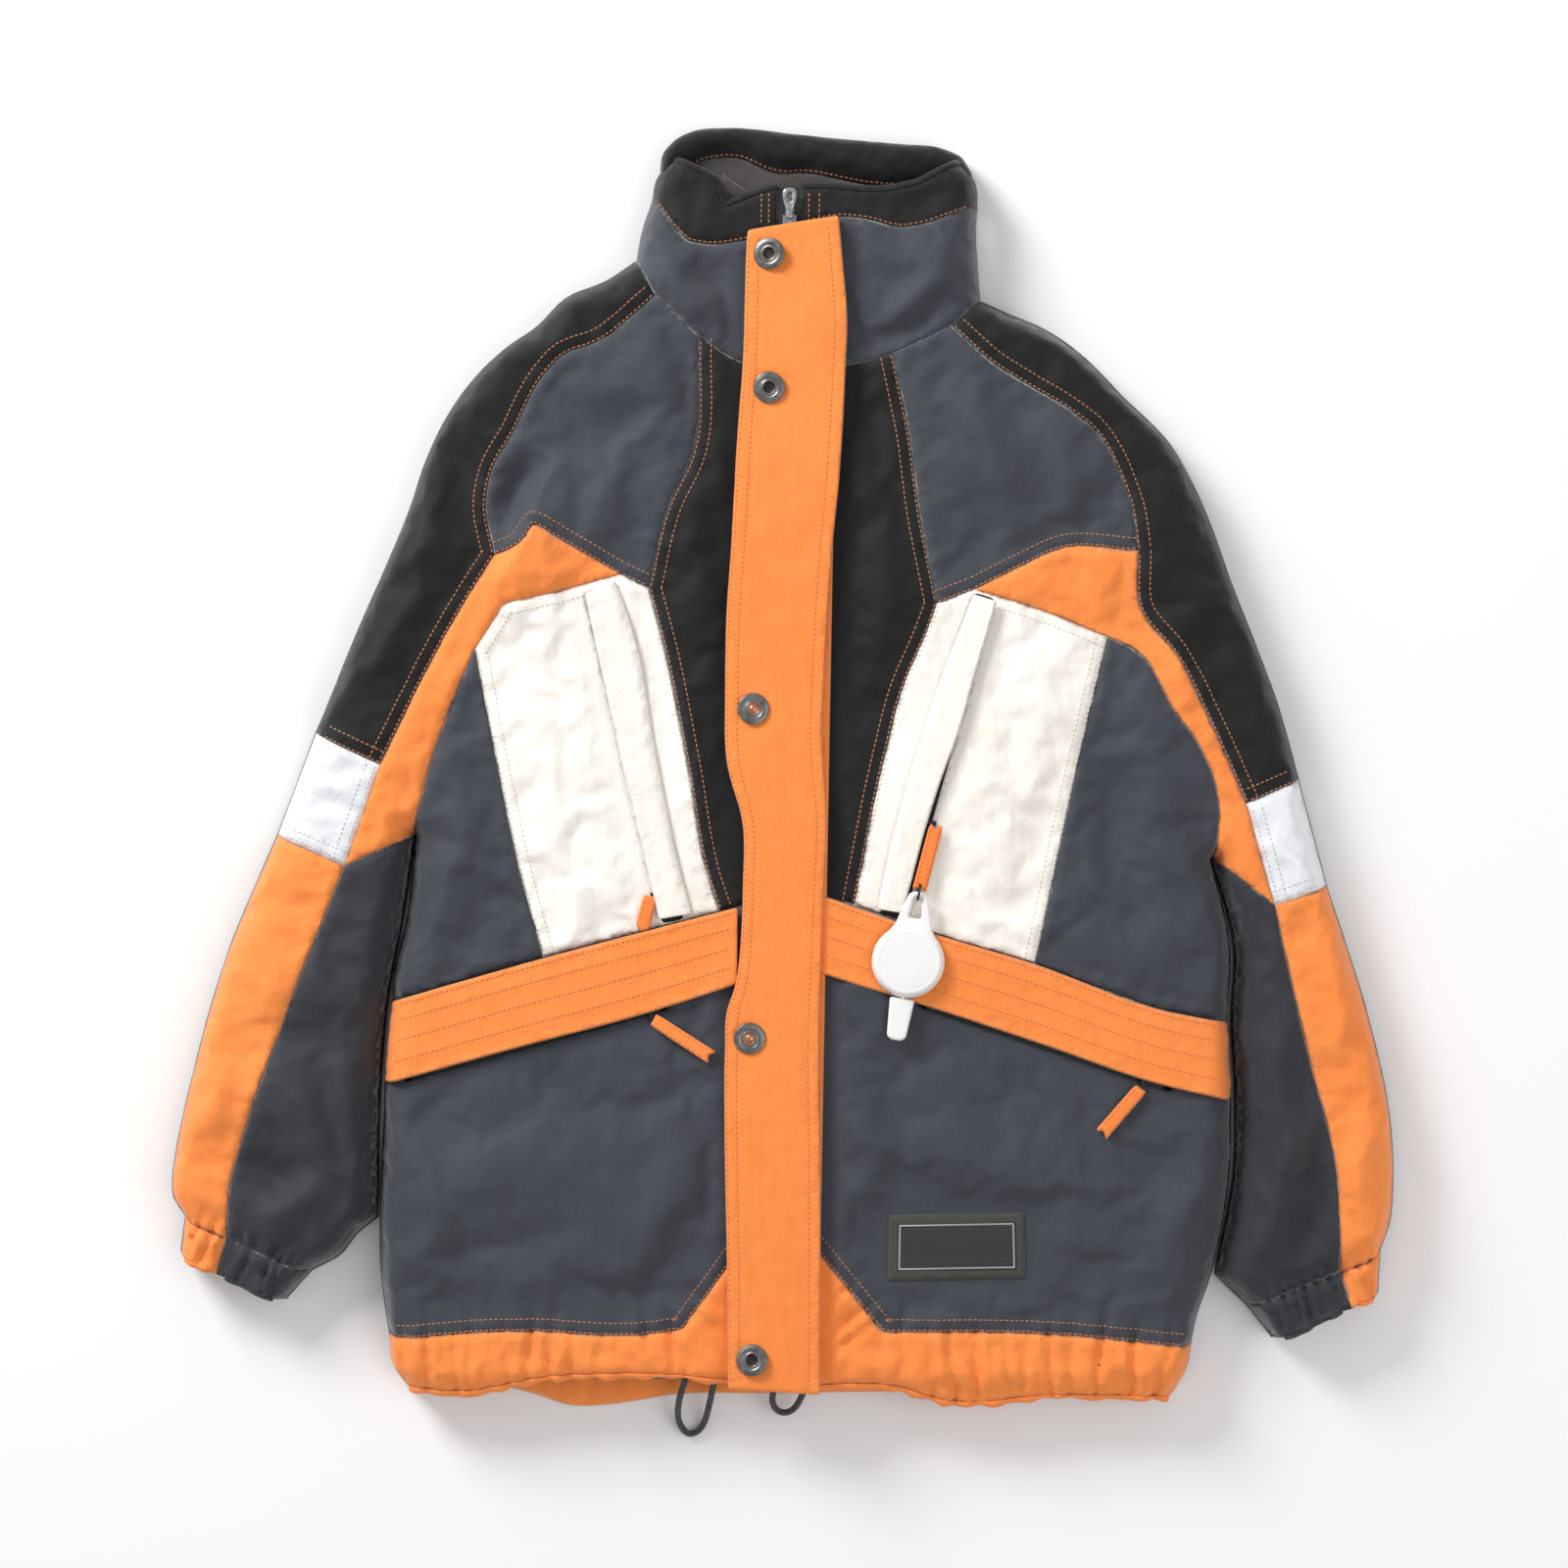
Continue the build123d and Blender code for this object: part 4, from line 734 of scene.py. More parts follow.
def gather_height(xy):
    """Creases that elastic draws in across the hem and the cuffs, fading into the cloth above."""
    total = np.zeros(len(xy))
    for seed, (seam, panel, pitch, depth) in enumerate(GATHERS):
        tree, arcs = tree_of([LINES[seam]])
        d, index = nearest(tree, xy)
        held = inside(joined(PANELS[panel][0]), xy)
        reach = np.where(held, 1.0, np.exp(-((d / 10) ** 2)))
        near = np.where((d < 60) & (reach > 0.02))[0]
        rng = np.random.default_rng(40 + seed)
        creases = np.arange(pitch * 0.6, arcs.max(), pitch)
        creases = creases + rng.uniform(-0.3, 0.3, len(creases)) * pitch
        deep = rng.uniform(0.35, 1.0, len(creases)) * depth
        lean = rng.uniform(-0.18, 0.18, len(creases))
        wide = 1.9 + 0.06 * pitch
        for at, low, slope in zip(creases, deep, lean):
            off = arcs[index[near]] - at - slope * d[near]
            total[near] -= low * reach[near] * np.exp(-((off / wide) ** 2))
            total[near] += 0.45 * low * reach[near] * np.exp(-(((np.abs(off) - pitch * 0.36) / wide) ** 2))
    return total


ZIP_SLOPE = 0.0127  # how far the front zip leans to the side for each mm up
CORD_EXITS = [(-104, -401), (81, -401)]  # where the drawcord loops leave the hem, which stays calm
PULL_ROOM = 43.2  # height that the cloth keeps under while a pull passes over it
PULL_SWEEPS = [
    # hinge and tip of a pull with its zip shut, and how far the slider takes them
    ((-87.3, -169.1), (-47.6, -194.6), (-144.6, -39.8)), ((241.1, -215), (214.2, -246.4), (-132.7, 44.6)),
    ((-88.8, -85.7), (-94, -108), (-43.6, 185)), ((103.4, -37.9), (91.5, -84), (35.6, 125)),
]


def swept_by_pulls(xy):
    """1 where a pull passes over the cloth as its slider runs, fading to 0 beside it."""
    share = np.zeros(len(xy))
    for hinge, tip, run in PULL_SWEEPS:
        a, b, r = np.array(hinge), np.array(tip), np.array(run)
        frame_of = np.column_stack([b - a, r])
        uv = np.linalg.solve(frame_of, (xy - a).T).T
        near = np.clip(uv, 0, 1)
        off = np.linalg.norm((uv - near) @ frame_of.T, axis=1)
        share = np.maximum(share, np.clip(1.6 - off / 11, 0, 1))
    return share


def relieve(obj):
    """Sinks each seam a little and puckers the cloth beside it, with the distances kept for shading."""
    co = coordinates(obj)
    xy = co[:, :2] / MM
    d, arc = seam_distance(xy)
    ends, _ = nearest(CORNER_TREE, xy)
    pucker = np.array([noise.noise((a / 7.0, 0, 5)) for a in arc]) * np.clip(ends / 16 - 0.25, 0, 1)
    lift = -1.3 * np.exp(-((d / 2.6) ** 2)) + 0.5 * np.exp(-(((d - 5) / 3.2) ** 2))
    lift += 1.2 * pucker * np.exp(-((d / 9) ** 2)) * (0.25 + 0.75 * flat_zone(xy))
    up = np.clip((co[:, 2] / MM - EDGE_Z) / 22, 0, 1)
    free = np.clip((np.abs(xy[:, 0] - ZIP_SLOPE * xy[:, 1]) - 34) / 10, 0, 1)
    for exit_at in CORD_EXITS:
        free *= 1 - np.exp(-((np.linalg.norm(xy - exit_at, axis=1) / 20) ** 4))
    co[:, 2] += (lift * up + gather_height(xy) * np.clip(up * 2.2, 0, 1) * free) * MM
    low = PULL_ROOM - 0.5 * np.log1p(np.exp(np.clip((PULL_ROOM - co[:, 2] / MM) / 0.5, -40, 40)))
    share = swept_by_pulls(xy)
    co[:, 2] += share * np.minimum(low * MM - co[:, 2], 0)
    set_coordinates(obj, co)
    add_attribute(obj, "seam", d)


relieve(front)


# ---- cloths ---------------------------------------------------------------------------------------
def node_of(tree, kind, inputs=None, **settings):
    node = tree.nodes.new(kind)
    for key, value in settings.items():
        setattr(node, key, value)
    for key, value in (inputs or {}).items():
        if isinstance(value, bpy.types.NodeSocket):
            tree.links.new(value, node.inputs[key])
        else:
            node.inputs[key].default_value = value
    return node


def math_node(tree, operation, a, b=0.0, c=0.0, clamp=False):
    node = tree.nodes.new("ShaderNodeMath")
    node.operation = operation
    node.use_clamp = clamp
    for i, value in enumerate((a, b, c)):
        if isinstance(value, bpy.types.NodeSocket):
            tree.links.new(value, node.inputs[i])
        else:
            node.inputs[i].default_value = value
    return node.outputs[0]


def mix_colour(tree, share, a, b, blend="MIX"):
    node = tree.nodes.new("ShaderNodeMix")
    node.data_type = "RGBA"
    node.blend_type = blend
    for key, value in ((0, share), (6, a), (7, b)):
        if isinstance(value, bpy.types.NodeSocket):
            tree.links.new(value, node.inputs[key])
        elif key == 0:
            node.inputs[0].default_value = value
        else:
            node.inputs[key].default_value = (*value, 1.0)
    return node.outputs[2]


def linear(r, g, b):
    """Linear colour from the usual 0 to 255 values."""
    def one(v):
        v /= 255
        return v / 12.92 if v <= 0.04045 else ((v + 0.055) / 1.055) ** 2.4
    return (one(r), one(g), one(b))


def new_material(name):
    material = bpy.data.materials.new(name)
    material.use_nodes = True
    tree = material.node_tree
    tree.nodes.clear()
    shader = tree.nodes.new("ShaderNodeBsdfPrincipled")
    output = tree.nodes.new("ShaderNodeOutputMaterial")
    tree.links.new(shader.outputs[0], output.inputs[0])
    place = tree.nodes.new("ShaderNodeTexCoord").outputs["Object"]
    return material, tree, shader, place


def noise_at(tree, place, scale, detail=3.0, rough=0.55, stretch=None, turn=0.0):
    if stretch:
        place = node_of(tree, "ShaderNodeMapping", {"Vector": place, "Scale": stretch,
                                                    "Rotation": (0, 0, turn)}).outputs[0]
    return node_of(tree, "ShaderNodeTexNoise",
                   {"Vector": place, "Scale": scale, "Detail": detail, "Roughness": rough}).outputs[0]


def bumps(tree, layers):
    """Stacked bumps: each layer is a height socket and its depth in metres."""
    normal = None
    for height, depth in layers:
        inputs = {"Height": height, "Strength": 1.0, "Distance": depth}
        if normal is not None:
            inputs["Normal"] = normal
        normal = node_of(tree, "ShaderNodeBump", inputs).outputs[0]
    return normal


def cloth_material(name, colour, second, rough=0.82, sheen=0.25, seams=True, wear=None, weave=1.0,
                   crease=1.0, spots=0.0):
    """Woven cloth: a twill's ribs and threads, slow shade changes, fine creases, and at the seams the
    ridge of the doubled edge with puckers. wear is the colour that edges rub to."""
    material, tree, shader, place = new_material(name)
    slow = noise_at(tree, place, 9.0, 4.0, 0.6)
    fine = noise_at(tree, place, 170.0, 2.0, 0.5)
    warp = noise_at(tree, place, 260.0, 2.0, 0.5, (1, 0.12, 1), 0.7)
    share = math_node(tree, "MULTIPLY_ADD", slow, 1.5, -0.25, True)
    tone = mix_colour(tree, share, colour, second)
    speck = math_node(tree, "MULTIPLY_ADD", warp, 0.34, 0.83)
    grey = node_of(tree, "ShaderNodeCombineColor", {0: speck, 1: speck, 2: speck}).outputs[0]
    tone = mix_colour(tree, 0.6 * weave, tone, grey, "MULTIPLY")
    if spots:
        stain = math_node(tree, "MULTIPLY_ADD", noise_at(tree, place, 14.0, 6.0, 0.7), 3.2, -1.75, True)
        tone = mix_colour(tree, math_node(tree, "MULTIPLY", stain, spots), tone,
                          tuple(c * k for c, k in zip(colour, (0.86, 0.78, 0.66))))
    ribs = node_of(tree, "ShaderNodeTexWave",
                   {"Vector": node_of(tree, "ShaderNodeMapping",
                                      {"Vector": place, "Rotation": (0, 0, 0.95)}).outputs[0],
                    "Scale": 230.0, "Distortion": 0.6, "Detail": 1.0}).outputs[1]
    creases = noise_at(tree, place, 46.0, 4.0, 0.62)
    broad = noise_at(tree, place, 17.0, 3.0, 0.5)
    layers = [(broad, 0.0030 * crease), (creases, 0.0009 * crease), (fine, 0.00022), (ribs, 0.00008 * weave)]
    if seams:
        seam = node_of(tree, "ShaderNodeAttribute", attribute_name="seam").outputs["Fac"]
        near = math_node(tree, "POWER", 2.718, math_node(tree, "MULTIPLY", seam, -0.14))
        gather = math_node(tree, "SUBTRACT", noise_at(tree, place, 110.0, 2.0, 0.5), 0.5)
        groove = math_node(tree, "MULTIPLY", seam, 0.8, 0, True)
        layers += [(math_node(tree, "MULTIPLY", gather, near), 0.0030), (groove, 0.0007)]
        if wear:
            rub = math_node(tree, "POWER", 2.718, math_node(tree, "MULTIPLY", seam, -0.45))
            rub = math_node(tree, "MULTIPLY", rub, math_node(tree, "MULTIPLY_ADD", creases, 1.6, -0.55,
                                                             True))
            tone = mix_colour(tree, math_node(tree, "MULTIPLY", rub, 0.5), tone, wear)
    tree.links.new(tone, shader.inputs["Base Color"])
    tree.links.new(bumps(tree, layers), shader.inputs["Normal"])
    shader.inputs["Roughness"].default_value = rough
    shader.inputs["Sheen Weight"].default_value = sheen
    shader.inputs["Sheen Roughness"].default_value = 0.45
    shader.inputs["Specular IOR Level"].default_value = 0.25
    return material


ORANGE, ORANGE_2 = linear(252, 148, 74), linear(250, 138, 66)
SLATE, SLATE_2 = linear(68, 71, 79), linear(59, 62, 70)
# The slate again, darker: painted shade for the sleeves' under panels and inner cuffs, which turn away from
# the light.
SLATE_PAINTED_SHADE, SLATE_PAINTED_SHADE_2 = linear(54, 56, 62), linear(46, 48, 54)
BLACK, BLACK_2 = linear(28, 27, 28), linear(22, 22, 23)
WHITE, WHITE_2 = linear(252, 247, 240), linear(248, 241, 231)
CLOTHS = {
    "orange": cloth_material("orange_twill", ORANGE, ORANGE_2, 0.8, 0.2, wear=linear(255, 190, 130)),
    "slate": cloth_material("slate_poplin", SLATE, SLATE_2, 0.7, 0.3, wear=linear(120, 122, 130)),
    # painted shade: the slate poplin made darker for the sleeves' under panels and inner cuffs
    "slate_painted_shade": cloth_material("slate_poplin_painted_shade", SLATE_PAINTED_SHADE, SLATE_PAINTED_SHADE_2, 0.7, 0.3,
                                 wear=linear(96, 98, 106)),
    "black": cloth_material("black_poplin", BLACK, BLACK_2, 0.72, 0.2, wear=linear(84, 74, 68)),
    "white": cloth_material("white_canvas", WHITE, WHITE_2, 0.85, 0.15, spots=0.35,
                            wear=linear(232, 220, 200)),
}


def reflective_material():
    """Worn reflective film: pale grey with dark rubbed smudges and hairline cracks."""
    material, tree, shader, place = new_material("reflective_film")
    smudge = math_node(tree, "MULTIPLY_ADD", noise_at(tree, place, 34.0, 7.0, 0.72), 4.2, -2.35, True)
    streak = math_node(tree, "MULTIPLY_ADD", noise_at(tree, place, 60.0, 4.0, 0.6, (1, 0.2, 1), 0.5),
                       3.0, -1.7, True)
    tone = mix_colour(tree, smudge, linear(238, 239, 242), linear(142, 144, 150))
    tone = mix_colour(tree, math_node(tree, "MULTIPLY", streak, 0.35), tone, linear(196, 198, 204))
    tree.links.new(tone, shader.inputs["Base Color"])
    cracks = node_of(tree, "ShaderNodeTexVoronoi", {"Vector": place, "Scale": 260.0},
                     feature="DISTANCE_TO_EDGE").outputs[0]
    layers = [(noise_at(tree, place, 30.0, 4.0, 0.6), 0.0022), (cracks, 0.0002)]
    tree.links.new(bumps(tree, layers), shader.inputs["Normal"])
    shader.inputs["Roughness"].default_value = 0.42
    shader.inputs["Metallic"].default_value = 0.15
    return material


CLOTHS["reflective"] = reflective_material()

# ---- panels cut from the front mesh ---------------------------------------------------------------
def arm_slab(side, start, end):
    """Two places down a sleeve, in metres. Nothing bends the cloth between them; only the table's keys are
    used.
    """
    return tuple((side * 0.36 * run, -0.93 * run, 0.02) for run in (start, end))


ARM_SLABS = {"right": arm_slab(-1, 0.110, 0.230), "left": arm_slab(1, 0.150, 0.270)}
REPLACED = {
    "right_shoulder": ["right_shoulder_panel"], "left_shoulder": ["left_shoulder_panel"],
    "right_yoke": ["yokes"], "right_pocket": ["right_pocket_panel"], "left_pocket": ["left_pocket_panel"],
    "right_chest": ["chest_panels"], "right_centre": ["centre_front_panels"],
    "right_side": ["side_panels"], "right_lower": ["lower_front_panels", "front_wadding"],
    "right_hem": ["front_hem_bands"], "right_patch": ["right_reflective_patch"],
    "left_patch": ["left_reflective_patch"],
    "right_outer": ["right_sleeve_outer_panel", "right_sleeve_wadding"],
    "left_outer": ["left_sleeve_outer_panel", "left_sleeve_wadding"],
    "right_under": ["right_sleeve_under_panel"], "left_under": ["left_sleeve_under_panel"],
    "right_cuff_inner": ["right_cuff"], "left_cuff_inner": ["left_cuff"],
    "right_collar": ["collar_shell", "collar_wadding"], "right_collar_band": ["collar_band"],
}


def follow(obj, body):
    """The torso's pieces ride on it; a sleeve's pieces and the flap keep their place with their transform
    baked in.
    """
    if body in ARM_SLABS:
        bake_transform(obj)
    elif body == "flap":
        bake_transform(obj)
    else:
        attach(obj, body)
    return obj


def split_out(source, number, name):
    """One panel of a welded mesh as an object of its own, its attributes kept."""
    bm = bmesh.new()
    bm.from_mesh(source.data)
    bmesh.ops.delete(bm, geom=[f for f in bm.faces if f.material_index != number], context="FACES")
    for f in bm.faces:
        f.material_index = 0
        f.smooth = True
    mesh = bpy.data.meshes.new(name)
    bm.to_mesh(mesh)
    bm.free()
    obj = bpy.data.objects.new(name, mesh)
    bpy.context.scene.collection.objects.link(obj)
    return obj


def thicken(obj, thickness, offset=-1.0):
    modifier = obj.modifiers.new("Solidify", "SOLIDIFY")
    modifier.thickness = thickness * MM
    modifier.offset = offset
    modifier.use_quality_normals = True
    return apply_modifiers(obj)


shells = {}
for number, (name, (_, cloth, body)) in enumerate(PANELS.items()):
    panel = split_out(front, number, name + "_front")
    panel.data.materials.append(CLOTHS[cloth])
    shells[name] = panel
surface = BVHTree.FromObject(front, bpy.context.evaluated_depsgraph_get())
bpy.data.objects.remove(front)


def height_at(x, y, tree=None, default=FRONT_TOP):
    """The height in mm of the cloth at a point seen from above."""
    hit = (tree or surface).ray_cast(Vector((x * MM, y * MM, 0.3)), Vector((0, 0, -1)))
    return hit[0].z / MM if hit[0] is not None else default


for name, panel in shells.items():
    thicken(panel, 1.2)
    if name in REPLACED:
        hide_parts(*REPLACED[name])
    follow(panel, PANELS[name][2])


# ---- back, which lies on the ground ---------------------------------------------------------------
BACK_BELT = (-155.0, -210.0)
BACK_HEM_SEAM = -388.0
BACK_HEM_EDGE = [(-259, -419), (-235, -420), (-201, -421), (-170, -428), (-145, -436), (-122, -436),
                 (-100, -433), (-77, -429), (-20, -428), (54, -427), (160, -427), (268, -426)]
BACK_NECK = [(135, 318), (100, 322), (-70, 328), (-100, 345)]


def arm_ring(s):
    k = s[0] + "_"
    names = [k + "patch_outer", k + "sleeve_edge", k + "cuff_edge", k + "cuff_low_outer",
             k + "cuff_low_inner", k + "cuff_side", k + "sleeve_inner", k + "gusset_lower",
             k + "patch_inner", k + "patch_top"]
    backward = {"l": ("patch_outer", "sleeve_edge", "sleeve_inner", "gusset_lower", "patch_inner",
                      "patch_top"), "r": ()}[s[0]]
    return joined(["-" + n if n[2:] in backward else n for n in names])


def torso_ring():
    right = joined(["r_shoulder_edge", "-r_patch_top", "-r_patch_inner", "-r_gusset_lower",
                    "r_body_edge_upper", "r_band_end", "r_body_edge_lower", "r_hem_end"])
    left = joined(["l_hem_end", "l_body_edge_lower", "l_band_end", "l_body_edge_upper",
                   "-l_gusset_lower", "-l_patch_inner", "-l_patch_top", "l_shoulder_edge"])
    return np.array([*right, *smooth_line(BACK_HEM_EDGE)[1:-1], *left, *smooth_line(BACK_NECK)[1:-1]])


def clipped(ring, high, low):
    """The part of a closed outline between two heights."""
    def cut(points, level, keep_below):
        kept = []
        for a, b in zip(points, np.roll(points, -1, 0)):
            inside_a = (a[1] <= level) == keep_below
            if inside_a:
                kept.append(a)
            if inside_a != ((b[1] <= level) == keep_below):
                kept.append(a + (b - a) * (level - a[1]) / (b[1] - a[1]))
        return np.array(kept)
    return cut(cut(ring, high, True), low, False)


def back_sheet(name, ring, cloth, body, tree, nodes=()):
    """A back panel: flat on the ground, rising at the outline to meet the front."""
    xy, faces = triangulated(ring, [], 11.0)
    d, _ = nearest(tree, xy)
    low = 1.5 + 0.5 * waves(xy, 45, 2.2)
    z = low + (EDGE_Z - low) * (1 - np.clip(d / 16.0, 0, 1)) ** 2.4
    obj = new_mesh(name, np.column_stack([xy, z]) * MM, faces)
    add_attribute(obj, "seam", np.full(len(xy), 30.0))
    thicken(obj, 1.2, -1.0)
    co = coordinates(obj)
    co[:, 2] = np.maximum(co[:, 2], 0.0003)
    set_coordinates(obj, co)
    obj.data.materials.append(CLOTHS[cloth])
    if nodes:
        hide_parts(*nodes)
    return follow(obj, body)


ring = torso_ring()
torso_tree = EDGE_TREES["torso"]
back_sheet("back_panel_sheet", clipped(ring, 440, BACK_BELT[0]), "slate", "torso", torso_tree,
           ["back_panel", "back_wadding"])
back_sheet("back_belt_band_sheet", clipped(ring, *BACK_BELT), "orange", "torso", torso_tree,
           ["back_belt_band"])
back_sheet("back_lower_sheet", clipped(ring, BACK_BELT[1], BACK_HEM_SEAM), "slate", "torso",
           torso_tree, ["back_lower_panel"])
for s in ("right", "left"):
    back_sheet(s + "_sleeve_back", arm_ring(s), "slate", s, EDGE_TREES[s])

# ---- lining: two loose sheets inside the body, with the fleece of the collar above them -----------
fleece_material = cloth_material("collar_fleece", linear(88, 85, 83), linear(70, 67, 66), 0.95, 0.7,
                                 seams=False, weave=0.3, crease=1.4)
lining_material = cloth_material("grey_lining", linear(118, 121, 126), linear(106, 109, 114), 0.5, 0.1,
                                 seams=False, crease=1.2)
CLOTHS.update(fleece=fleece_material, lining=lining_material)


def loose_sheet(name, ring, z_of, cloth, step=12.0, thickness=0.9):
    xy, faces = triangulated(ring, [], step)
    obj = new_mesh(name, np.column_stack([xy, z_of(xy)]) * MM, faces)
    thicken(obj, thickness, 0.0)
    obj.data.materials.append(CLOTHS[cloth])
    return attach(obj, "torso")


inner_ring = smooth_line([(-252, -407), (-256, -300), (-256, -200), (-240, -60), (-226, 40),
                          (-212, 170), (-180, 262), (-100, 318), (0, 322), (110, 312), (190, 262),
                          (240, 170), (262, 60), (284, -60), (292, -190), (286, -290), (262, -412),
                          (100, -415), (-60, -414), (-252, -407)], 12)[:-1]
back_lining = loose_sheet("back_lining", inner_ring,
                          lambda xy: 12.0 + 1.4 * waves(xy, 60, 1.2), "lining")
front_inner = inner_ring[inner_ring[:, 1] < 240]
front_lining = loose_sheet("front_lining", front_inner,
                           lambda xy: 29.5 + 1.2 * waves(xy, 55, 5.5) + hem_droop(xy) * 0.6, "lining")
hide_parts("body_lining", "pocket_bags")
for sheet in (back_lining, front_lining):
    co = coordinates(sheet)


# ---- strips: a cloth band between two lines, thick, with rolled edges -----------------------------
def paired(first, second, step=5.0):
    """Points in step along two lines."""
    a, ra = dense(smooth_line(first), 1.0)
    b, rb = dense(smooth_line(second), 1.0)
    n = max(2, round(max(ra[-1], rb[-1]) / step))
    share = np.linspace(0, 1, n + 1)
    return (np.column_stack([np.interp(share * ra[-1], ra, a[:, k]) for k in (0, 1)]),
            np.column_stack([np.interp(share * rb[-1], rb, b[:, k]) for k in (0, 1)]))


def strip(name, first, second, top_of, cloth, thickness, step=5.0, columns=14):
    """A band of cloth between two lines. top_of gives the height in mm from (xy, share across)."""
    a, b = paired(first, second, step)
    across = np.linspace(0, 1, columns + 1) * 2 - 1
    across = np.sign(across) * np.abs(across) ** 0.75 / 2 + 0.5
    points = []
    for share in across:
        xy = a + (b - a) * share
        points.append(np.column_stack([xy, top_of(xy, np.full(len(xy), share))]))
    grid = np.array(points)
    n, m = grid.shape[:2]
    faces = [(i * m + j, i * m + j + 1, (i + 1) * m + j + 1, (i + 1) * m + j)
             for i in range(n - 1) for j in range(m - 1)]
    flat = grid.reshape(-1, 3)
    first_face = flat[list(faces[0])]
    if np.cross(first_face[1] - first_face[0], first_face[2] - first_face[1])[2] < 0:
        faces = [f[::-1] for f in faces]
    obj = new_mesh(name, flat * MM, faces)
    widths = np.repeat(np.linalg.norm(b - a, axis=1)[None], n, 0).ravel()
    shares = np.repeat(across, m)
    add_attribute(obj, "seam", np.minimum(shares, 1 - shares) * widths)
    modifier = obj.modifiers.new("Solidify", "SOLIDIFY")
    modifier.thickness = thickness * MM
    modifier.offset = -1.0
    modifier.edge_crease_rim = 0.0
    round_off = obj.modifiers.new("Subdivision", "SUBSURF")
    round_off.levels = round_off.render_levels = 1
    apply_modifiers(obj)
    obj.data.shade_smooth()
    obj.data.materials.append(CLOTHS[cloth])
    return obj


def cover_top(xy, share, high=COVER_TOP):
    """A cover's height: level over the front, and down over the body's rounded side."""
    d, _ = nearest(torso_tree, xy)
    rise = dome(d, 20.0, EDGE_Z + 2.0, high, 3.0)
    return rise + 0.5 * waves(xy, 38, 6.6) - 0.45 * (np.abs(share * 2 - 1) > 0.93)


covers = {}
for s in ("right", "left"):
    top, bottom = BAND_LINES[s]
    def band_top(xy, share):
        rows = np.cos(share * 2 * math.pi * 4) * 0.28
        under = np.array([height_at(x, y, None, 0.0) for x, y in xy])
        return np.maximum(cover_top(xy, share), under + 0.8) + rows
    band = strip("belt_band_" + s, top, bottom, band_top, "orange", 1.6)
    covers["band_" + s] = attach(band, "torso")
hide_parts("front_belt_bands")

WELT_LINES = {
    "right": ([(-133, 117), (-126, 85), (-117, 44), (-106, -5), (-89, -77), (-83, -102)],
              [(-112, 126), (-99, 90), (-85, 12), (-66, -77), (-60, -98)]),
    "left": ([(144, 112), (131, 68), (117, 20), (108, -4), (97, -38), (86.5, -77), (81, -98)],
             [(128, 117), (97, 35), (72, -52.5), (63, -95)]),
}
for s in ("right", "left"):
    outer, inner = WELT_LINES[s]
    def welt_top(xy, share):
        raised = 1.0 * np.clip((xy[:, 1] + 40) / 30, 0, 1) * np.clip(1.2 - share * 2.2, 0, 1)
        return 46.0 + raised + 0.15 * waves(xy, 22, 7.7) - 3.4 * np.clip((share - 0.72) / 0.28, 0, 1) ** 2
    welt = strip("pocket_welt_" + s, outer, inner, welt_top, "white", 1.0, 4.0, 10)
    covers["welt_" + s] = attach(welt, "torso")
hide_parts("chest_welts")

# ---- storm flap -----------------------------------------------------------------------------------
FLAP_LEFT = [(-24, 361), (-25, 340), (-27, 274), (-31, 220), (-35, 147.5), (-38, 105), (-39, 47),
             (-38, 4), (-27, -39), (-27, -77), (-28, -108), (-33, -149), (-38, -163), (-39, -187),
             (-39, -275), (-38, -324), (-37, -417)]
FLAP_RIGHT = [(38, 371), (41, 340), (44, 299), (43, 272), (39, 200), (34, 147.5), (28, 52), (27, 27),
              (30, -37), (28, -85), (26, -140), (25, -200), (26, -275), (26, -326), (25.5, -421)]


def flap_top(xy, share):
    """Gentle waves, a dip round each snap's cap, and a sewn edge a little lower than the middle."""
    z = FLAP_TOP + 0.1 + 0.55 * waves(xy, 55, 9.1) + 0.25 * waves(xy, 16, 2.9)
    z -= 0.9 * np.exp(-((share * 62 / 2.2) ** 2)) + 0.9 * np.exp(-(((1 - share) * 62 / 2.2) ** 2))
    z -= 0.35 * np.exp(-(((share - 0.13) * 62 / 1.6) ** 2))
    z -= 0.35 * np.exp(-(((share - 0.87) * 62 / 1.6) ** 2))
    for x, y in SNAPS:
        z -= 0.7 * np.exp(-((np.hypot(xy[:, 0] - x, xy[:, 1] - y) / 13) ** 4))
    return np.clip(z, FLAP_Z + 2.2, FLAP_TOP + 1.0)


SNAPS = [(-9, 344.5), (-9, 255), (-19.5, 39.5), (-22, -181.5), (-20.5, -397)]
flap = strip("storm_flap_cloth", FLAP_LEFT, FLAP_RIGHT, flap_top, "orange", 3.2, 5.0, 22)
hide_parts("storm_flap")
follow(flap, "flap")
flap_tree = BVHTree.FromObject(flap, bpy.context.evaluated_depsgraph_get())
root = strip("storm_flap_root_strip", [(31, 371), (17, -410)], [(38, 371), (24, -410)],
             lambda xy, share: np.full(len(xy), 45.4), "orange", 3.8, 12.0, 4)
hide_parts("storm_flap_root")
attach(root, "torso")


# ---- rolled edges: hem, cuffs and the front of the collar's band ----------------------------------
def offset_line(line, distance):
    """The same line moved to its left."""
    line = np.array(line, float)
    ahead = np.gradient(line, axis=0)
    ahead /= np.maximum(np.linalg.norm(ahead, axis=1), 1e-9)[:, None]
    return line + distance * np.column_stack([-ahead[:, 1], ahead[:, 0]])


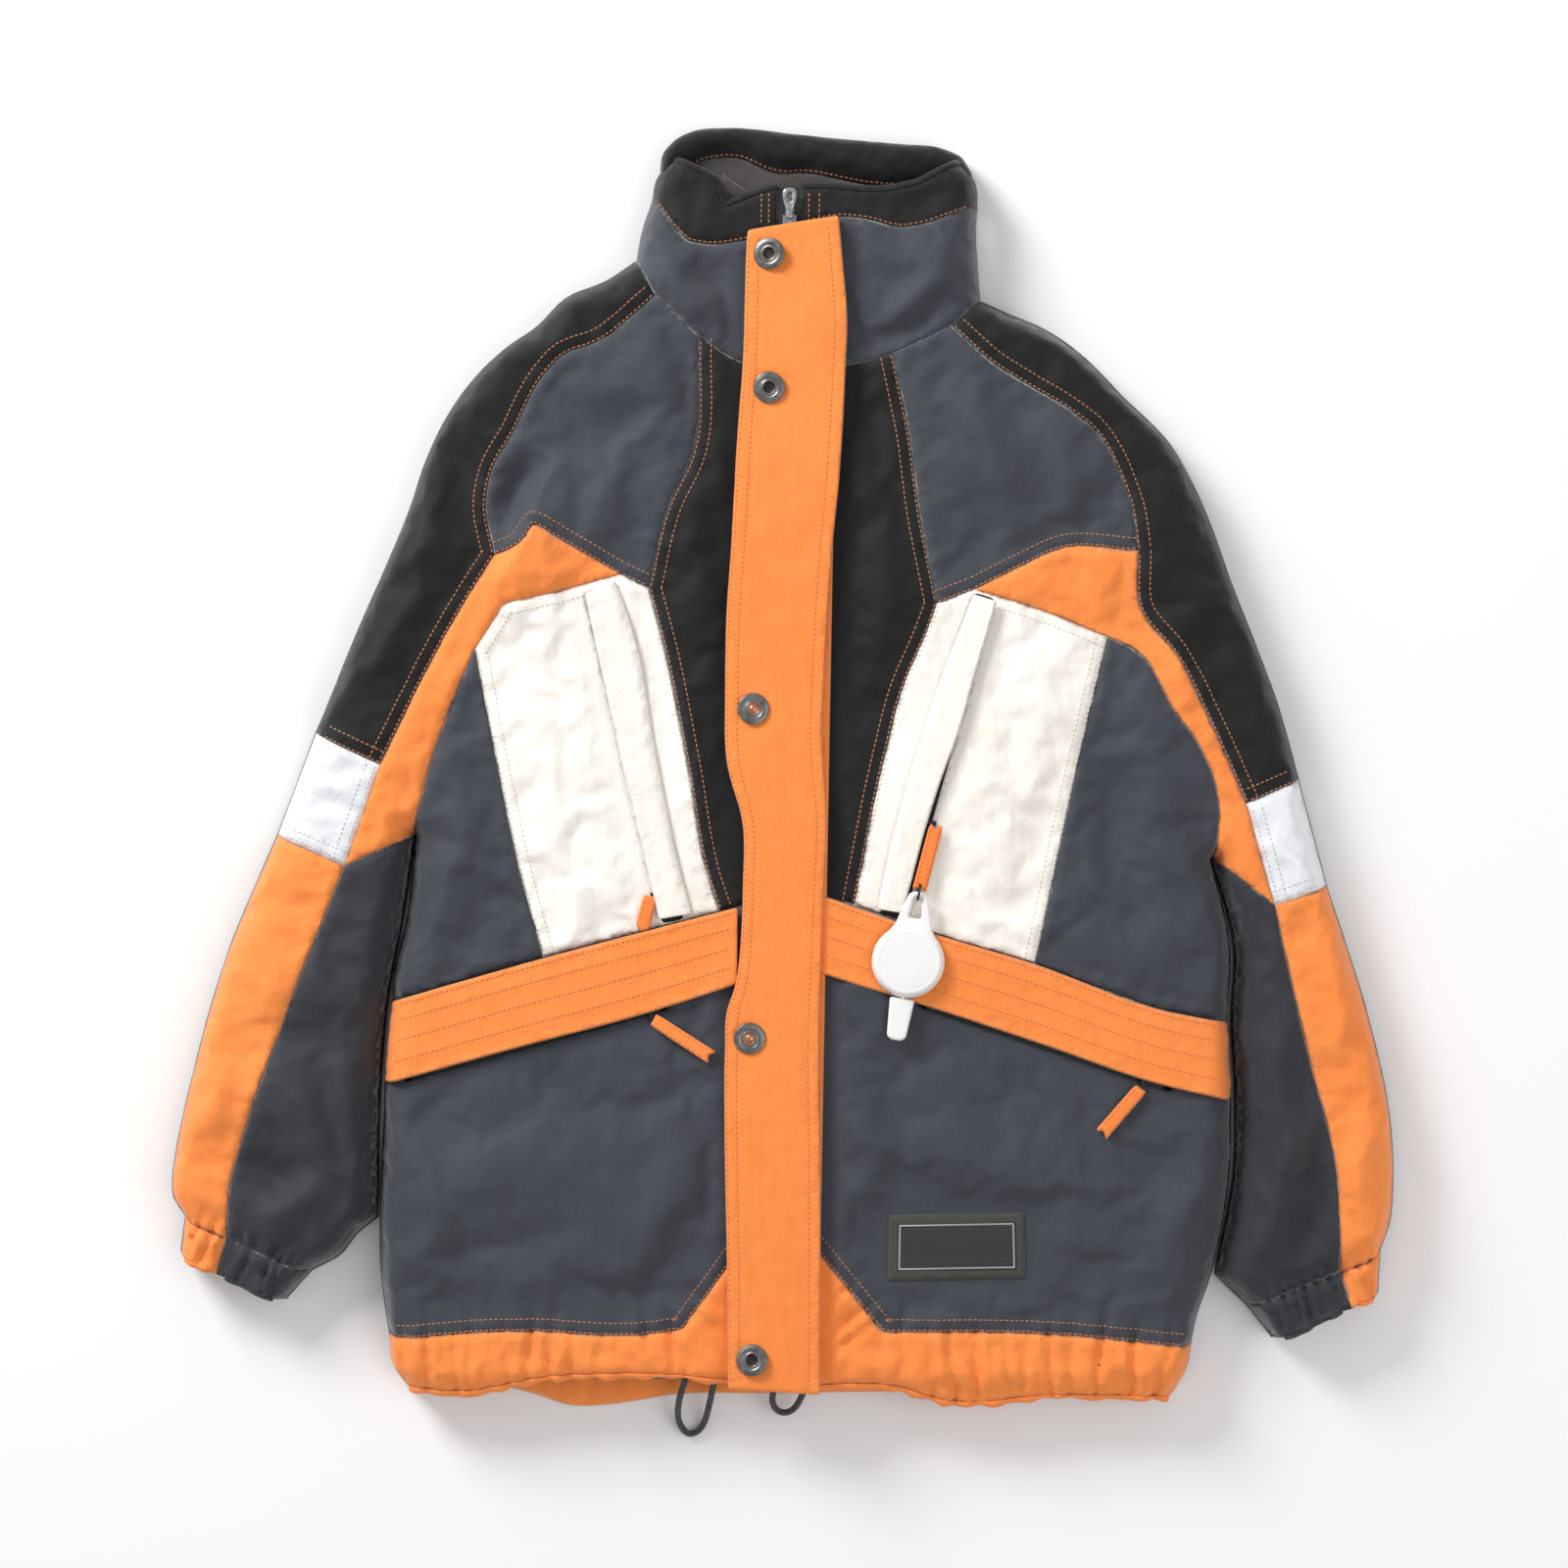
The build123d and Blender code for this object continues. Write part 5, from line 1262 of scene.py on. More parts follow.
def roll(name, line, side, profile, cloth, body, trim=5.0, swells=1.2):
    """Cloth turned over an edge: each row of the profile is (outwards, up) in mm from the edge."""
    line, arcs = dense(line, 3.0)
    kept = (arcs > trim) & (arcs < arcs[-1] - trim)
    line, arcs = line[kept], arcs[kept]
    smooth = line.copy()
    for _ in range(3):
        smooth[1:-1] = (smooth[:-2] + 2 * smooth[1:-1] + smooth[2:]) / 4
    inset = offset_line(smooth, -1.2 * side)
    z = np.array([height_at(x, y) for x, y in inset])
    z = np.where(z < 5, np.median(z), z)
    rows = []
    for out, up in profile:
        wave = 1 + 0.18 * np.array([noise.noise((a / 9, out * 0.3, 1.5)) for a in arcs])
        swell = 1 + swells * np.array([noise.noise((a / 10, 4.0, 2.5)) for a in arcs])
        xy = smooth + (offset_line(smooth, side) - smooth) * (out * swell)[:, None]
        if out == 0 and up == 0:
            xy = inset
        rows.append(np.column_stack([xy, np.maximum(z + up * wave, 1.6)]))
    grid = np.array(rows)
    n, m = grid.shape[:2]
    faces = [(i * m + j, i * m + j + 1, (i + 1) * m + j + 1, (i + 1) * m + j)
             for i in range(n - 1) for j in range(m - 1)]
    if side > 0:
        faces = [f[::-1] for f in faces]
    obj = new_mesh(name, grid.reshape(-1, 3) * MM, faces)
    add_attribute(obj, "seam", np.full(n * m, 20.0))
    modifier = obj.modifiers.new("Solidify", "SOLIDIFY")
    modifier.thickness = 0.9 * MM
    modifier.offset = -1.0
    round_off = obj.modifiers.new("Subdivision", "SUBSURF")
    round_off.levels = round_off.render_levels = 1
    apply_modifiers(obj)
    obj.data.shade_smooth()
    obj.data.materials.append(CLOTHS[cloth])
    return follow(obj, body)


HEM_ROLL = [(0, 0), (1.4, -0.6), (2.6, -2.6), (2.2, -5.0), (0.0, -6.6), (-7, -7.2), (-20, -7.0)]
CUFF_ROLL = [(0, 0), (1.0, -0.8), (1.6, -2.4), (1.0, -4.2), (-2, -5.0), (-14, -5.0)]
roll("hem_roll_right", LINES["r_hem_bottom"], -1, HEM_ROLL, "orange", "torso")
roll("hem_roll_left", LINES["l_hem_bottom"], -1, HEM_ROLL, "orange", "torso")
# The inner cuff rolls take the slate cloth darkened as painted shade.
for s, k, out in (("right", "r_", -1), ("left", "l_", 1)):
    for part, cloth in (("outer", "orange"), ("inner", "slate_painted_shade")):
        roll(f"{s}_cuff_roll_{part}", LINES[f"{k}cuff_low_{part}"], out, CUFF_ROLL, cloth, s)
BAND_ROLL = [(0, 0), (1.6, -0.8), (3.0, -3.0), (3.0, -6.5), (1.0, -9.5), (-5, -11.0), (-16, -11.5)]
roll("collar_roll_right", LINES["r_band_edge"], 1, BAND_ROLL, "black", "torso", -1.0, 0.2)
roll("collar_roll_left", LINES["l_band_edge"], 1, BAND_ROLL, "black", "torso", -1.0, 0.2)

# ---- back of the collar: black facing rolled over the top, fleece inside --------------------------
BACK_TOP_LINE = [(-84, 404), (-83, 418), (-74, 428), (-58, 435), (-40, 436.5), (-19, 436), (0, 433.5),
                 (23, 431), (50, 428.5), (77, 426), (109, 423), (123, 417), (130, 404)]
BACK_FLEECE_LINE = [(-68, 392), (-64, 404), (-56, 411), (-44, 414), (-29, 414), (-16, 408), (-5, 404),
                    (17, 404), (38, 400), (59, 396), (80, 394.5), (98, 394), (114, 390)]


def back_roll_top(xy, share):
    """Rises from the ground at the outline to the roll, then falls to the fleece's seam."""
    up = dome(share, 0.34, 5.0, 27.0, 2.2)
    down = 10.0 * np.clip((share - 0.45) / 0.55, 0, 1) ** 1.6
    folds = 2.0 * np.sin(xy[:, 0] / 6.5 + xy[:, 1] / 9.0 + 2.5 * waves(xy, 30, 3.3)) * 0.35
    return up - down + folds * np.sin(math.pi * share) * 2.0 + 1.6 * waves(xy, 24, 6.1)


back_roll = strip("collar_back_roll", BACK_TOP_LINE, BACK_FLEECE_LINE, back_roll_top, "black", 1.6, 4.0, 14)
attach(back_roll, "torso")
FLEECE_LOW = [(-74, 330), (-66, 330), (-50, 330), (-30, 330), (-10, 330), (10, 330), (30, 330),
              (50, 330), (70, 330), (85, 330), (100, 330), (112, 330), (122, 330)]


def fleece_top(xy, share):
    return 17.0 - 3.5 * share + 1.2 * waves(xy, 26, 4.9)


fleece = strip("collar_fleece_back", BACK_FLEECE_LINE, FLEECE_LOW, fleece_top, "fleece", 1.6, 4.0, 14)
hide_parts("collar_lining")
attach(fleece, "torso")
tip = strip("collar_fleece_corner", [(-41, 402), (-39, 388), (-38, 370)],
            [(-24, 390), (-25, 382), (-33, 372)],
            lambda xy, share: 31.5 - 4.0 * share + 0.4 * waves(xy, 12, 2.0), "fleece", 1.4, 3.0, 6)
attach(tip, "torso")


BACK_HEM_TOP = [(x, -386 + 0.001 * x) for x in (-262, -200, -145, -60, 30, 120, 200, 270)]


def back_hem_top(xy, share):
    """A gathered tube: crowned across, with uneven puckers."""
    crown = 8.5 * np.sqrt(np.clip(1 - (2 * share - 1) ** 2, 0, 1))
    pucker = np.array([noise.noise((x / 8.5, y / 60, 8.0)) for x, y in xy])
    return 3.0 + crown * (0.75 + 0.35 * pucker) + 0.6 * waves(xy, 20, 1.0)


back_hem = strip("back_hem_tube", BACK_HEM_EDGE, BACK_HEM_TOP, back_hem_top, "orange", 1.6, 3.5, 14)
co = coordinates(back_hem)
co[:, 2] = np.maximum(co[:, 2], 0.0004)
set_coordinates(back_hem, co)
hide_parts("back_hem_band")
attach(back_hem, "torso")

# ---- stitches: single threads sunk in the cloth ---------------------------------------------------
def thread_material(name, colour, second):
    material, tree, shader, place = new_material(name)
    twist = noise_at(tree, place, 900.0, 2.0, 0.5)
    tree.links.new(mix_colour(tree, twist, colour, second), shader.inputs["Base Color"])
    tree.links.new(bumps(tree, [(twist, 0.0002)]), shader.inputs["Normal"])
    shader.inputs["Roughness"].default_value = 0.6
    shader.inputs["Sheen Weight"].default_value = 0.2
    return material


THREADS = {
    "tan": thread_material("tan_thread", linear(204, 134, 84), linear(176, 110, 66)),
    "orange": thread_material("orange_thread", linear(240, 140, 74), linear(226, 122, 58)),
    "white": thread_material("white_thread", linear(240, 232, 222), linear(222, 212, 198)),
    "grey": thread_material("grey_thread", linear(214, 216, 222), linear(196, 198, 206)),
    "black": thread_material("black_thread", linear(58, 56, 56), linear(44, 42, 42)),
}
STITCH, PITCH, THREAD_R = 2.7, 3.5, 0.42


def stitch_points(line, trees, lift=0.15, pitch=PITCH):
    """Ends of each stitch along a line, laid on what is seen from above."""
    points, arcs = dense(line, 0.6)
    ends = []
    s = 1.2
    while s + STITCH < arcs[-1]:
        pair = []
        for at in (s, s + STITCH):
            x, y = (np.interp(at, arcs, points[:, k]) for k in (0, 1))
            z = max(height_at(x, y, tree, 0.0) for tree in trees)
            pair.append((x, y, z + lift))
        if pair[0][2] > 3 and abs(pair[0][2] - pair[1][2]) < 3:
            ends.append(pair)
        s += pitch
    return ends


def stitches(name, rows, thread, body, trees=None, radius=THREAD_R):
    """One mesh of all the stitches along several lines."""
    points, faces = [], []
    for row in rows:
        for a, b in stitch_points(row, trees or [surface]):
            a, b = np.array(a), np.array(b)
            along = (b - a) / np.linalg.norm(b - a)
            side = np.cross(along, (0, 0, 1))
            side /= np.linalg.norm(side)
            up = np.cross(side, along)
            first = len(points)
            points.append(a - up * radius)
            for share, r in ((0.14, 0.8), (0.5, 1.15), (0.86, 0.8)):
                centre = a + (b - a) * share
                points += [centre + side * radius * r, centre + up * radius * r,
                           centre - side * radius * r, centre - up * radius * r]
            points.append(b - up * radius)
            last = first + 13
            for k in range(4):
                n = (k + 1) % 4
                faces.append((first, first + 1 + n, first + 1 + k))
                for ringed in (0, 4):
                    p = first + 1 + ringed
                    faces.append((p + k, p + n, p + 4 + n, p + 4 + k))
                faces.append((last, first + 9 + k, first + 9 + n))
    obj = new_mesh(name, np.array(points) * MM, faces)
    obj.data.materials.append(THREADS[thread])
    return follow(obj, body)


def beside(seam, panel, offset, trim=(0.0, 0.0)):
    """A line beside a seam, on the side that the panel lies on."""
    line, arcs = dense(LINES[seam], 1.0)
    keep = (arcs >= trim[0]) & (arcs <= arcs[-1] - trim[1])
    ring = joined(PANELS[panel][0])
    left = offset_line(line, offset)
    middle = len(line) // 2
    on_left = inside(ring, offset_line(line, 1.5)[[middle]])[0]
    return (left if on_left else offset_line(line, -offset))[keep]


def rows_beside(specs):
    return [beside(seam, panel, offset) for seam, panel, offsets in specs for offset in offsets]


PAIR = (1.3, 8.3)
stitches("stitches_torso_tan", rows_beside([
    ("r_yoke_inner", "right_centre", PAIR), ("r_pocket_inner", "right_centre", PAIR),
    ("l_yoke_inner", "left_centre", PAIR), ("l_pocket_inner", "left_centre", PAIR),
    ("r_yoke_chest", "right_yoke", PAIR), ("r_yoke_pocket", "right_yoke", PAIR),
    ("l_yoke_chest", "left_yoke", PAIR), ("l_yoke_pocket", "left_yoke", PAIR),
    ("r_hem_seam", "right_lower", PAIR), ("l_hem_seam", "left_lower", PAIR),
    ("r_collar_seam", "right_collar_band", (1.6,)), ("l_collar_seam", "left_collar_band", (1.6,)),
]), "tan", "torso")
for s, k in (("right", "r_"), ("left", "l_")):
    shoulder = s + "_shoulder"
    stitches(f"stitches_{s}_shoulder", rows_beside([
        (k + "raglan", shoulder, PAIR), (k + "sleeve_front", shoulder, PAIR),
        (k + "patch_top", shoulder, (1.3, 9.0))]), "tan", s)
    stitches(f"stitches_{s}_patch", rows_beside([
        (k + "patch_inner", s + "_patch", (3.0, 9.0)), (k + "patch_bottom", s + "_patch", (3.0, 9.0))]),
        "grey", s)
    stitches(f"stitches_{s}_pocket", rows_beside([
        (k + "pocket_outer", s + "_pocket", (1.2, 7.6)), (k + "pocket_top", s + "_pocket", (7.0,)),
        (k + "pocket_inner", s + "_pocket", (1.4,))]), "white", "torso")
    stitches(f"stitches_{s}_gusset", rows_beside([
        (k + "gusset_lower", s + "_under", (1.2,))]), "black", s)
    band_rows = []
    a, b = paired(*BAND_LINES[s], 5.0)
    for share in (0.06, 0.25, 0.5, 0.75):
        band_rows.append((a + (b - a) * share)[1:-1])
    band_tree = BVHTree.FromObject(covers["band_" + s], bpy.context.evaluated_depsgraph_get())
    stitches(f"stitches_{s}_band", band_rows, "orange", "torso", [band_tree])
back_roll_tree = BVHTree.FromObject(back_roll, bpy.context.evaluated_depsgraph_get())
stitches("stitches_collar_back", [offset_line(smooth_line(BACK_FLEECE_LINE), 2.0)], "tan", "torso",
         [back_roll_tree])
zip_rows = [np.array([(zip_x(388) + x, 388.0), (zip_x(366) + x, 366.0)]) for x in (-19, -14, 13, 20)]
stitches("stitches_zip_top", zip_rows, "tan", "torso")
a, b = paired(FLAP_LEFT, FLAP_RIGHT, 5.0)
flap_rows = [(a + (b - a) * share)[1:-1] for share in (0.03, 0.13, 0.87)]
stitches("stitches_flap", flap_rows, "orange", "flap", [flap_tree])


# ---- finishes of the small parts ------------------------------------------------------------------
def hard_material(name, colour, second, rough, metallic=0.0, grain=90.0, depth=0.00006, scratch=0.0,
                  coat=0.0):
    """Metal or plastic: patchy tone, uneven roughness, a fine grain and, where asked, scratches."""
    material, tree, shader, place = new_material(name)
    patch = noise_at(tree, place, grain, 6.0, 0.62)
    share = math_node(tree, "MULTIPLY_ADD", patch, 2.2, -0.6, True)
    tree.links.new(mix_colour(tree, share, colour, second), shader.inputs["Base Color"])
    uneven = math_node(tree, "MULTIPLY_ADD", noise_at(tree, place, grain * 2.5, 4.0, 0.6), 0.24,
                       rough - 0.12, True)
    tree.links.new(uneven, shader.inputs["Roughness"])
    layers = [(patch, depth)]
    if scratch:
        layers.append((noise_at(tree, place, 800.0, 2.0, 0.5, (1, 0.05, 1), 0.4), scratch))
    tree.links.new(bumps(tree, layers), shader.inputs["Normal"])
    shader.inputs["Metallic"].default_value = metallic
    shader.inputs["Coat Weight"].default_value = coat
    return material


SNAP_METAL = hard_material("antique_snap_metal", linear(142, 141, 138), linear(96, 94, 92), 0.36, 0.85,
                           240, 0.00008, 0.00003)
SNAP_DARK = hard_material("snap_recess", linear(58, 50, 44), linear(36, 32, 30), 0.5, 0.6, 300)
COPPER = hard_material("copper_rivet", linear(214, 158, 128), linear(170, 112, 84), 0.34, 0.8, 400)
SILVER = hard_material("silver_zip_metal", linear(198, 199, 202), linear(150, 152, 156), 0.3, 0.9, 200,
                       0.00005, 0.00003)
DARK_METAL = hard_material("black_coated_metal", linear(52, 52, 55), linear(34, 34, 37), 0.42, 0.55, 150,
                           0.00005, 0.00002)
WHITE_PLASTIC = hard_material("white_plastic", linear(248, 247, 246), linear(240, 239, 238), 0.32, 0.0, 30,
                              0.00012, 0.00001, 0.25)
SPOOL_PLASTIC = hard_material("grey_spool_plastic", linear(120, 122, 124), linear(98, 100, 102), 0.45)


def cord_material():
    """Braided cord: crossing strands with flecks of a lighter yarn, each strand darkened towards its edges
    as painted shade in the grooves of the bump.
    """
    material, tree, shader, place = new_material("braided_cord")
    cells = node_of(tree, "ShaderNodeTexVoronoi", {"Vector": place, "Scale": 620.0})
    strands = cells.outputs["Distance"]
    fleck = noise_at(tree, place, 420.0, 3.0, 0.6)
    tone = mix_colour(tree, math_node(tree, "MULTIPLY_ADD", fleck, 2.4, -0.8, True),
                      linear(58, 59, 62), linear(88, 89, 94))
    # painted shade: darker where the Voronoi distance grows, in the grooves that the bump below sinks
    tone = mix_colour(tree, math_node(tree, "MULTIPLY", strands, 0.9, 0, True), tone, linear(34, 34, 37))
    tree.links.new(tone, shader.inputs["Base Color"])
    tree.links.new(bumps(tree, [(math_node(tree, "SUBTRACT", 1.0, strands), 0.0007)]),
                   shader.inputs["Normal"])
    shader.inputs["Roughness"].default_value = 0.8
    shader.inputs["Sheen Weight"].default_value = 0.35
    return material


CORD = cord_material()


def tape_material(name, colour, second):
    """Zip tape: a close herringbone."""
    material, tree, shader, place = new_material(name)
    ribs = node_of(tree, "ShaderNodeTexWave", {"Vector": place, "Scale": 420.0, "Distortion": 1.5,
                                               "Detail": 1.0}).outputs[1]
    fuzz = noise_at(tree, place, 300.0, 3.0, 0.6)
    tree.links.new(mix_colour(tree, fuzz, colour, second), shader.inputs["Base Color"])
    tree.links.new(bumps(tree, [(ribs, 0.00015), (fuzz, 0.00015)]), shader.inputs["Normal"])
    shader.inputs["Roughness"].default_value = 0.85
    shader.inputs["Sheen Weight"].default_value = 0.3
    return material


TAPE = tape_material("black_zip_tape", linear(44, 44, 46), linear(32, 32, 34))


def dress(node, material, bevel=0.0):
    """A CAD part shown as it is, with its finish and softened edges."""
    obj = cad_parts[node]
    obj.data.materials.clear()
    obj.data.materials.append(material)
    if bevel:
        soften = obj.modifiers.new("Bevel", "BEVEL")
        soften.width = bevel * MM
        soften.segments = 2
        soften.limit_method = "ANGLE"
    return obj


dress("front_zip_tapes", TAPE)
dress("pocket_zips", DARK_METAL, 0.25)
dress("snap_studs", SNAP_METAL)
dress("reel_ring", DARK_METAL)
dress("reel_spool", SPOOL_PLASTIC)
dress("hanger_loop", tape_material("black_loop_tape", linear(40, 40, 42), linear(30, 30, 32)), 0.3)
dress("hem_drawcord", CORD)
dress("front_zip_slider", SILVER, 0.5)
for name in ("chest_right", "chest_left", "hand_right", "hand_left"):
    dress(name + "_slider", DARK_METAL, 0.5)


# ---- solid pieces with rounded edges --------------------------------------------------------------
def edge_distance(xy, rings):
    """Distance from each point to the nearest side of several closed outlines."""
    best = np.full(len(xy), 1e9)
    for ring in rings:
        for a, b in zip(ring, np.roll(ring, -1, 0)):
            ab = b - a
            t = np.clip(((xy - a) @ ab) / max(ab @ ab, 1e-9), 0, 1)
            best = np.minimum(best, np.linalg.norm(xy - a - t[:, None] * ab, axis=1))
    return best


def rounded(points, radius=2.0, steps=5):
    """A closed outline with its corners rounded; each point is (x, y) or (x, y, its own radius)."""
    ring = []
    n = len(points)
    for i in range(n):
        p = np.array(points[i][:2], float)
        r = points[i][2] if len(points[i]) > 2 else radius
        a, b = (np.array(points[(i + k) % n][:2], float) - p for k in (-1, 1))
        la, lb = np.linalg.norm(a), np.linalg.norm(b)
        cut = min(r, la * 0.48, lb * 0.48)
        first, last = p + a / la * cut, p + b / lb * cut
        for t in np.linspace(0, 1, steps):
            ring.append((1 - t) ** 2 * first + 2 * t * (1 - t) * p + t * t * last)
    return np.array(ring)


def cushion(name, ring, holes, low, high, curve, step, material, body, crown=None):
    """A solid between two heights whose rim is rounded by curve mm. crown adds height from (x, y)."""
    def spaced(line):
        closed = np.vstack([line, line[:1]])
        return dense(closed, step)[0][:-1]
    ring, holes = spaced(ring), [spaced(h) for h in holes]
    xy, faces = triangulated(ring, holes, step)
    d = edge_distance(xy, [ring, *holes])
    depth = np.clip(d / curve, 0, 1)
    rim = curve * (1 - np.sqrt(np.clip(1 - (1 - depth) ** 2, 0, 1)))
    lift = crown(xy) if crown else 0.0
    rim = np.minimum(rim, (high - low) / 2)
    top = np.column_stack([xy, high - rim + lift])
    bottom = np.column_stack([xy, np.full(len(xy), low) + rim + lift * 0.9])
    n = len(xy)
    sides = dict.fromkeys((i, j) for f in faces for i, j in zip(f, (*f[1:], f[0])))
    walls = [(j, i, i + n, j + n) for i, j in sides if (j, i) not in sides]
    obj = new_mesh(name, np.vstack([top, bottom]) * MM,
                   [*faces, *[tuple(i + n for i in reversed(f)) for f in faces], *walls])
    bm = bmesh.new()
    bm.from_mesh(obj.data)
    bmesh.ops.remove_doubles(bm, verts=bm.verts, dist=0.0002)
    bmesh.ops.recalc_face_normals(bm, faces=bm.faces)
    bm.to_mesh(obj.data)
    bm.free()
    obj.data.shade_smooth()
    add_attribute(obj, "seam", np.full(len(obj.data.vertices), 25.0))
    obj.data.materials.append(material)
    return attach(obj, body) if body else obj


# ---- snap caps ------------------------------------------------------------------------------------
CAP_PROFILE = [(10.2, -0.9), (10.6, -0.2), (10.5, 0.45), (9.9, 0.85), (9.3, 0.75), (9.1, 0.75), (7.7, 0.95),
               (6.3, 0.9), (6.0, 0.62), (5.5, 0.58), (5.2, 0.95), (4.5, 1.05), (4.0, 0.8)]
RIVET = [(4.0, 0.8), (3.6, 0.1), (2.9, -0.2), (2.6, 0.4), (1.8, 0.95), (0.8, 1.1), (0.02, 1.12)]
HOLLOW = [(4.0, 0.8), (3.6, 0.0), (2.8, -0.45), (1.8, -0.55), (0.02, -0.55)]
SOCKET = [(0.02, 46.6), (3.0, 46.6), (5.4, 46.4), (6.0, 45.9), (5.9, 45.2), (5.0, 44.9), (3.2, 44.9),
          (2.9, 45.6), (1.6, 46.0), (0.02, 46.0)]
# tilt of each cap's face about x and y in degrees, and whether its middle is an open hole
CAP_LEANS = [(2, -13, True), (3, -4, True), (-2, 3, False), (2, 2, False), (-8, -8, True)]


def lathe(profile, count, place, knurl=0.0, tilt=None):
    """A turned surface about a vertical axis. knurl raises fine ribs on the cap's flat."""
    points, faces = [], []
    for j in range(count):
        angle = 2 * math.pi * j / count
        for r, z in profile:
            ridge_up = knurl * (j % 2) if 6.2 < r < 9.2 else 0.0
            points.append((r * math.cos(angle), r * math.sin(angle), z + ridge_up))
    m = len(profile)
    for j in range(count):
        k = (j + 1) % count
        faces += [(j * m + i, k * m + i, k * m + i + 1, j * m + i + 1) for i in range(m - 1)]
    points = np.array(points)
    if tilt:
        ax, ay = (math.radians(t) for t in tilt)
        rx = np.array([[1, 0, 0], [0, math.cos(ax), -math.sin(ax)], [0, math.sin(ax), math.cos(ax)]])
        ry = np.array([[math.cos(ay), 0, math.sin(ay)], [0, 1, 0], [-math.sin(ay), 0, math.cos(ay)]])
        points = points @ (rx @ ry).T
    return points + np.array(place), faces


def turned(name, items, material, body):
    points, faces = [], []
    for pts, fcs in items:
        faces += [tuple(i + len(points) for i in f) for f in fcs]
        points += list(pts)
    obj = new_mesh(name, np.array(points) * MM, faces)
    obj.data.materials.append(material)
    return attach(obj, body)


def cap_place(x, y, lean):
    raised = 10 * math.sin(math.radians(max(abs(lean[0]), abs(lean[1]))))
    return (x, y, height_at(x, y, flap_tree, FLAP_TOP) + 1.5 + 0.6 * raised)


rims = turned("snap_cap_rims", [lathe(CAP_PROFILE, 84, cap_place(x, y, lean), 0.22, lean[:2])
                                for (x, y), lean in zip(SNAPS, CAP_LEANS)],
              SNAP_METAL, "storm_flap")
turned("snap_cap_rivets", [lathe(RIVET, 32, cap_place(x, y, lean), 0, lean[:2])
                           for (x, y), lean in zip(SNAPS, CAP_LEANS) if not lean[2]],
       COPPER, "storm_flap")
turned("snap_cap_hollows", [lathe(HOLLOW, 32, cap_place(x, y, lean), 0, lean[:2])
                            for (x, y), lean in zip(SNAPS, CAP_LEANS) if lean[2]],
       SNAP_DARK, "storm_flap")
turned("snap_sockets", [lathe(SOCKET, 32, (x, y, 0)) for x, y in SNAPS], SNAP_METAL,
       "storm_flap")
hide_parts("snap_caps")


# ---- front zip ------------------------------------------------------------------------------------
def zip_teeth(name, start, end, z, pitch=3.2):
    """Two rows of moulded teeth that lock in turn, each with a narrow nose and a wide heel."""
    start, end = np.array(start, float), np.array(end, float)
    along_zip = (end - start) / np.linalg.norm(end - start)
    across = np.array([-along_zip[1], along_zip[0]])
    points, faces = [], []
    count = int(np.linalg.norm(end - start) / pitch)
    for k in range(count):
        for side in (-1, 1):
            at = start + along_zip * (k + (0.5 if side > 0 else 0.0)) * pitch
            first = len(points)
            for out, half in ((-0.9, 0.55), (0.9, 0.8), (3.1, 0.95)):
                for dz in (-1.5, 1.5):
                    for v in (-half, half):
                        xy = at + across * side * out + along_zip * v
                        points.append((*xy, z + dz * (0.8 if out < 0 else 1.0)))
            for ring in (0, 4):
                a, b, c, d = (first + ring + i for i in (0, 1, 3, 2))
                faces += [(p, q, q + 4, p + 4) for p, q in ((a, b), (b, c), (c, d), (d, a))]
            faces += [(first, first + 2, first + 3, first + 1),
                      (first + 8, first + 9, first + 11, first + 10)]
    obj = new_mesh(name, np.array(points) * MM, faces, False)
    bm = bmesh.new()
    bm.from_mesh(obj.data)
    bmesh.ops.recalc_face_normals(bm, faces=bm.faces)
    bm.to_mesh(obj.data)
    bm.free()
    obj.data.materials.append(SILVER)
    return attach(obj, "torso")


teeth = zip_teeth("front_zip_chain", ZIP_LOW, ZIP_HIGH, 38.8)
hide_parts("front_zip_teeth")
box_ring = rounded([(-9.4, -407.4), (-0.8, -407.4), (-0.8, -397), (-9.4, -397)], 1.5)
cushion("front_zip_bottom_box", box_ring, [], 36.4, 41.2, 0.8, 1.5, SILVER, "torso")
pull_ring = rounded([(2.2, 369, 1.5), (2.6, 374, 3), (-0.2, 383, 3), (0.4, 389.6, 3), (9.0, 389.6, 3),
                     (9.6, 383, 3), (6.8, 374, 3), (7.2, 369, 1.5)])
pull_hole = rounded([(3.6, 380), (3.2, 387), (6.4, 387), (6.0, 380)], 1.4)
front_pull = cushion("front_zip_pull_tab", pull_ring, [pull_hole], 44.4, 45.8, 0.5, 1.1, SILVER,
                     "front_pull")
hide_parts("front_zip_pull")

# ---- cloth pulls of the pocket zips ---------------------------------------------------------------
PULL_CLOTH = cloth_material("pull_tab_twill", ORANGE, linear(246, 130, 60), 0.8, 0.2, seams=False)


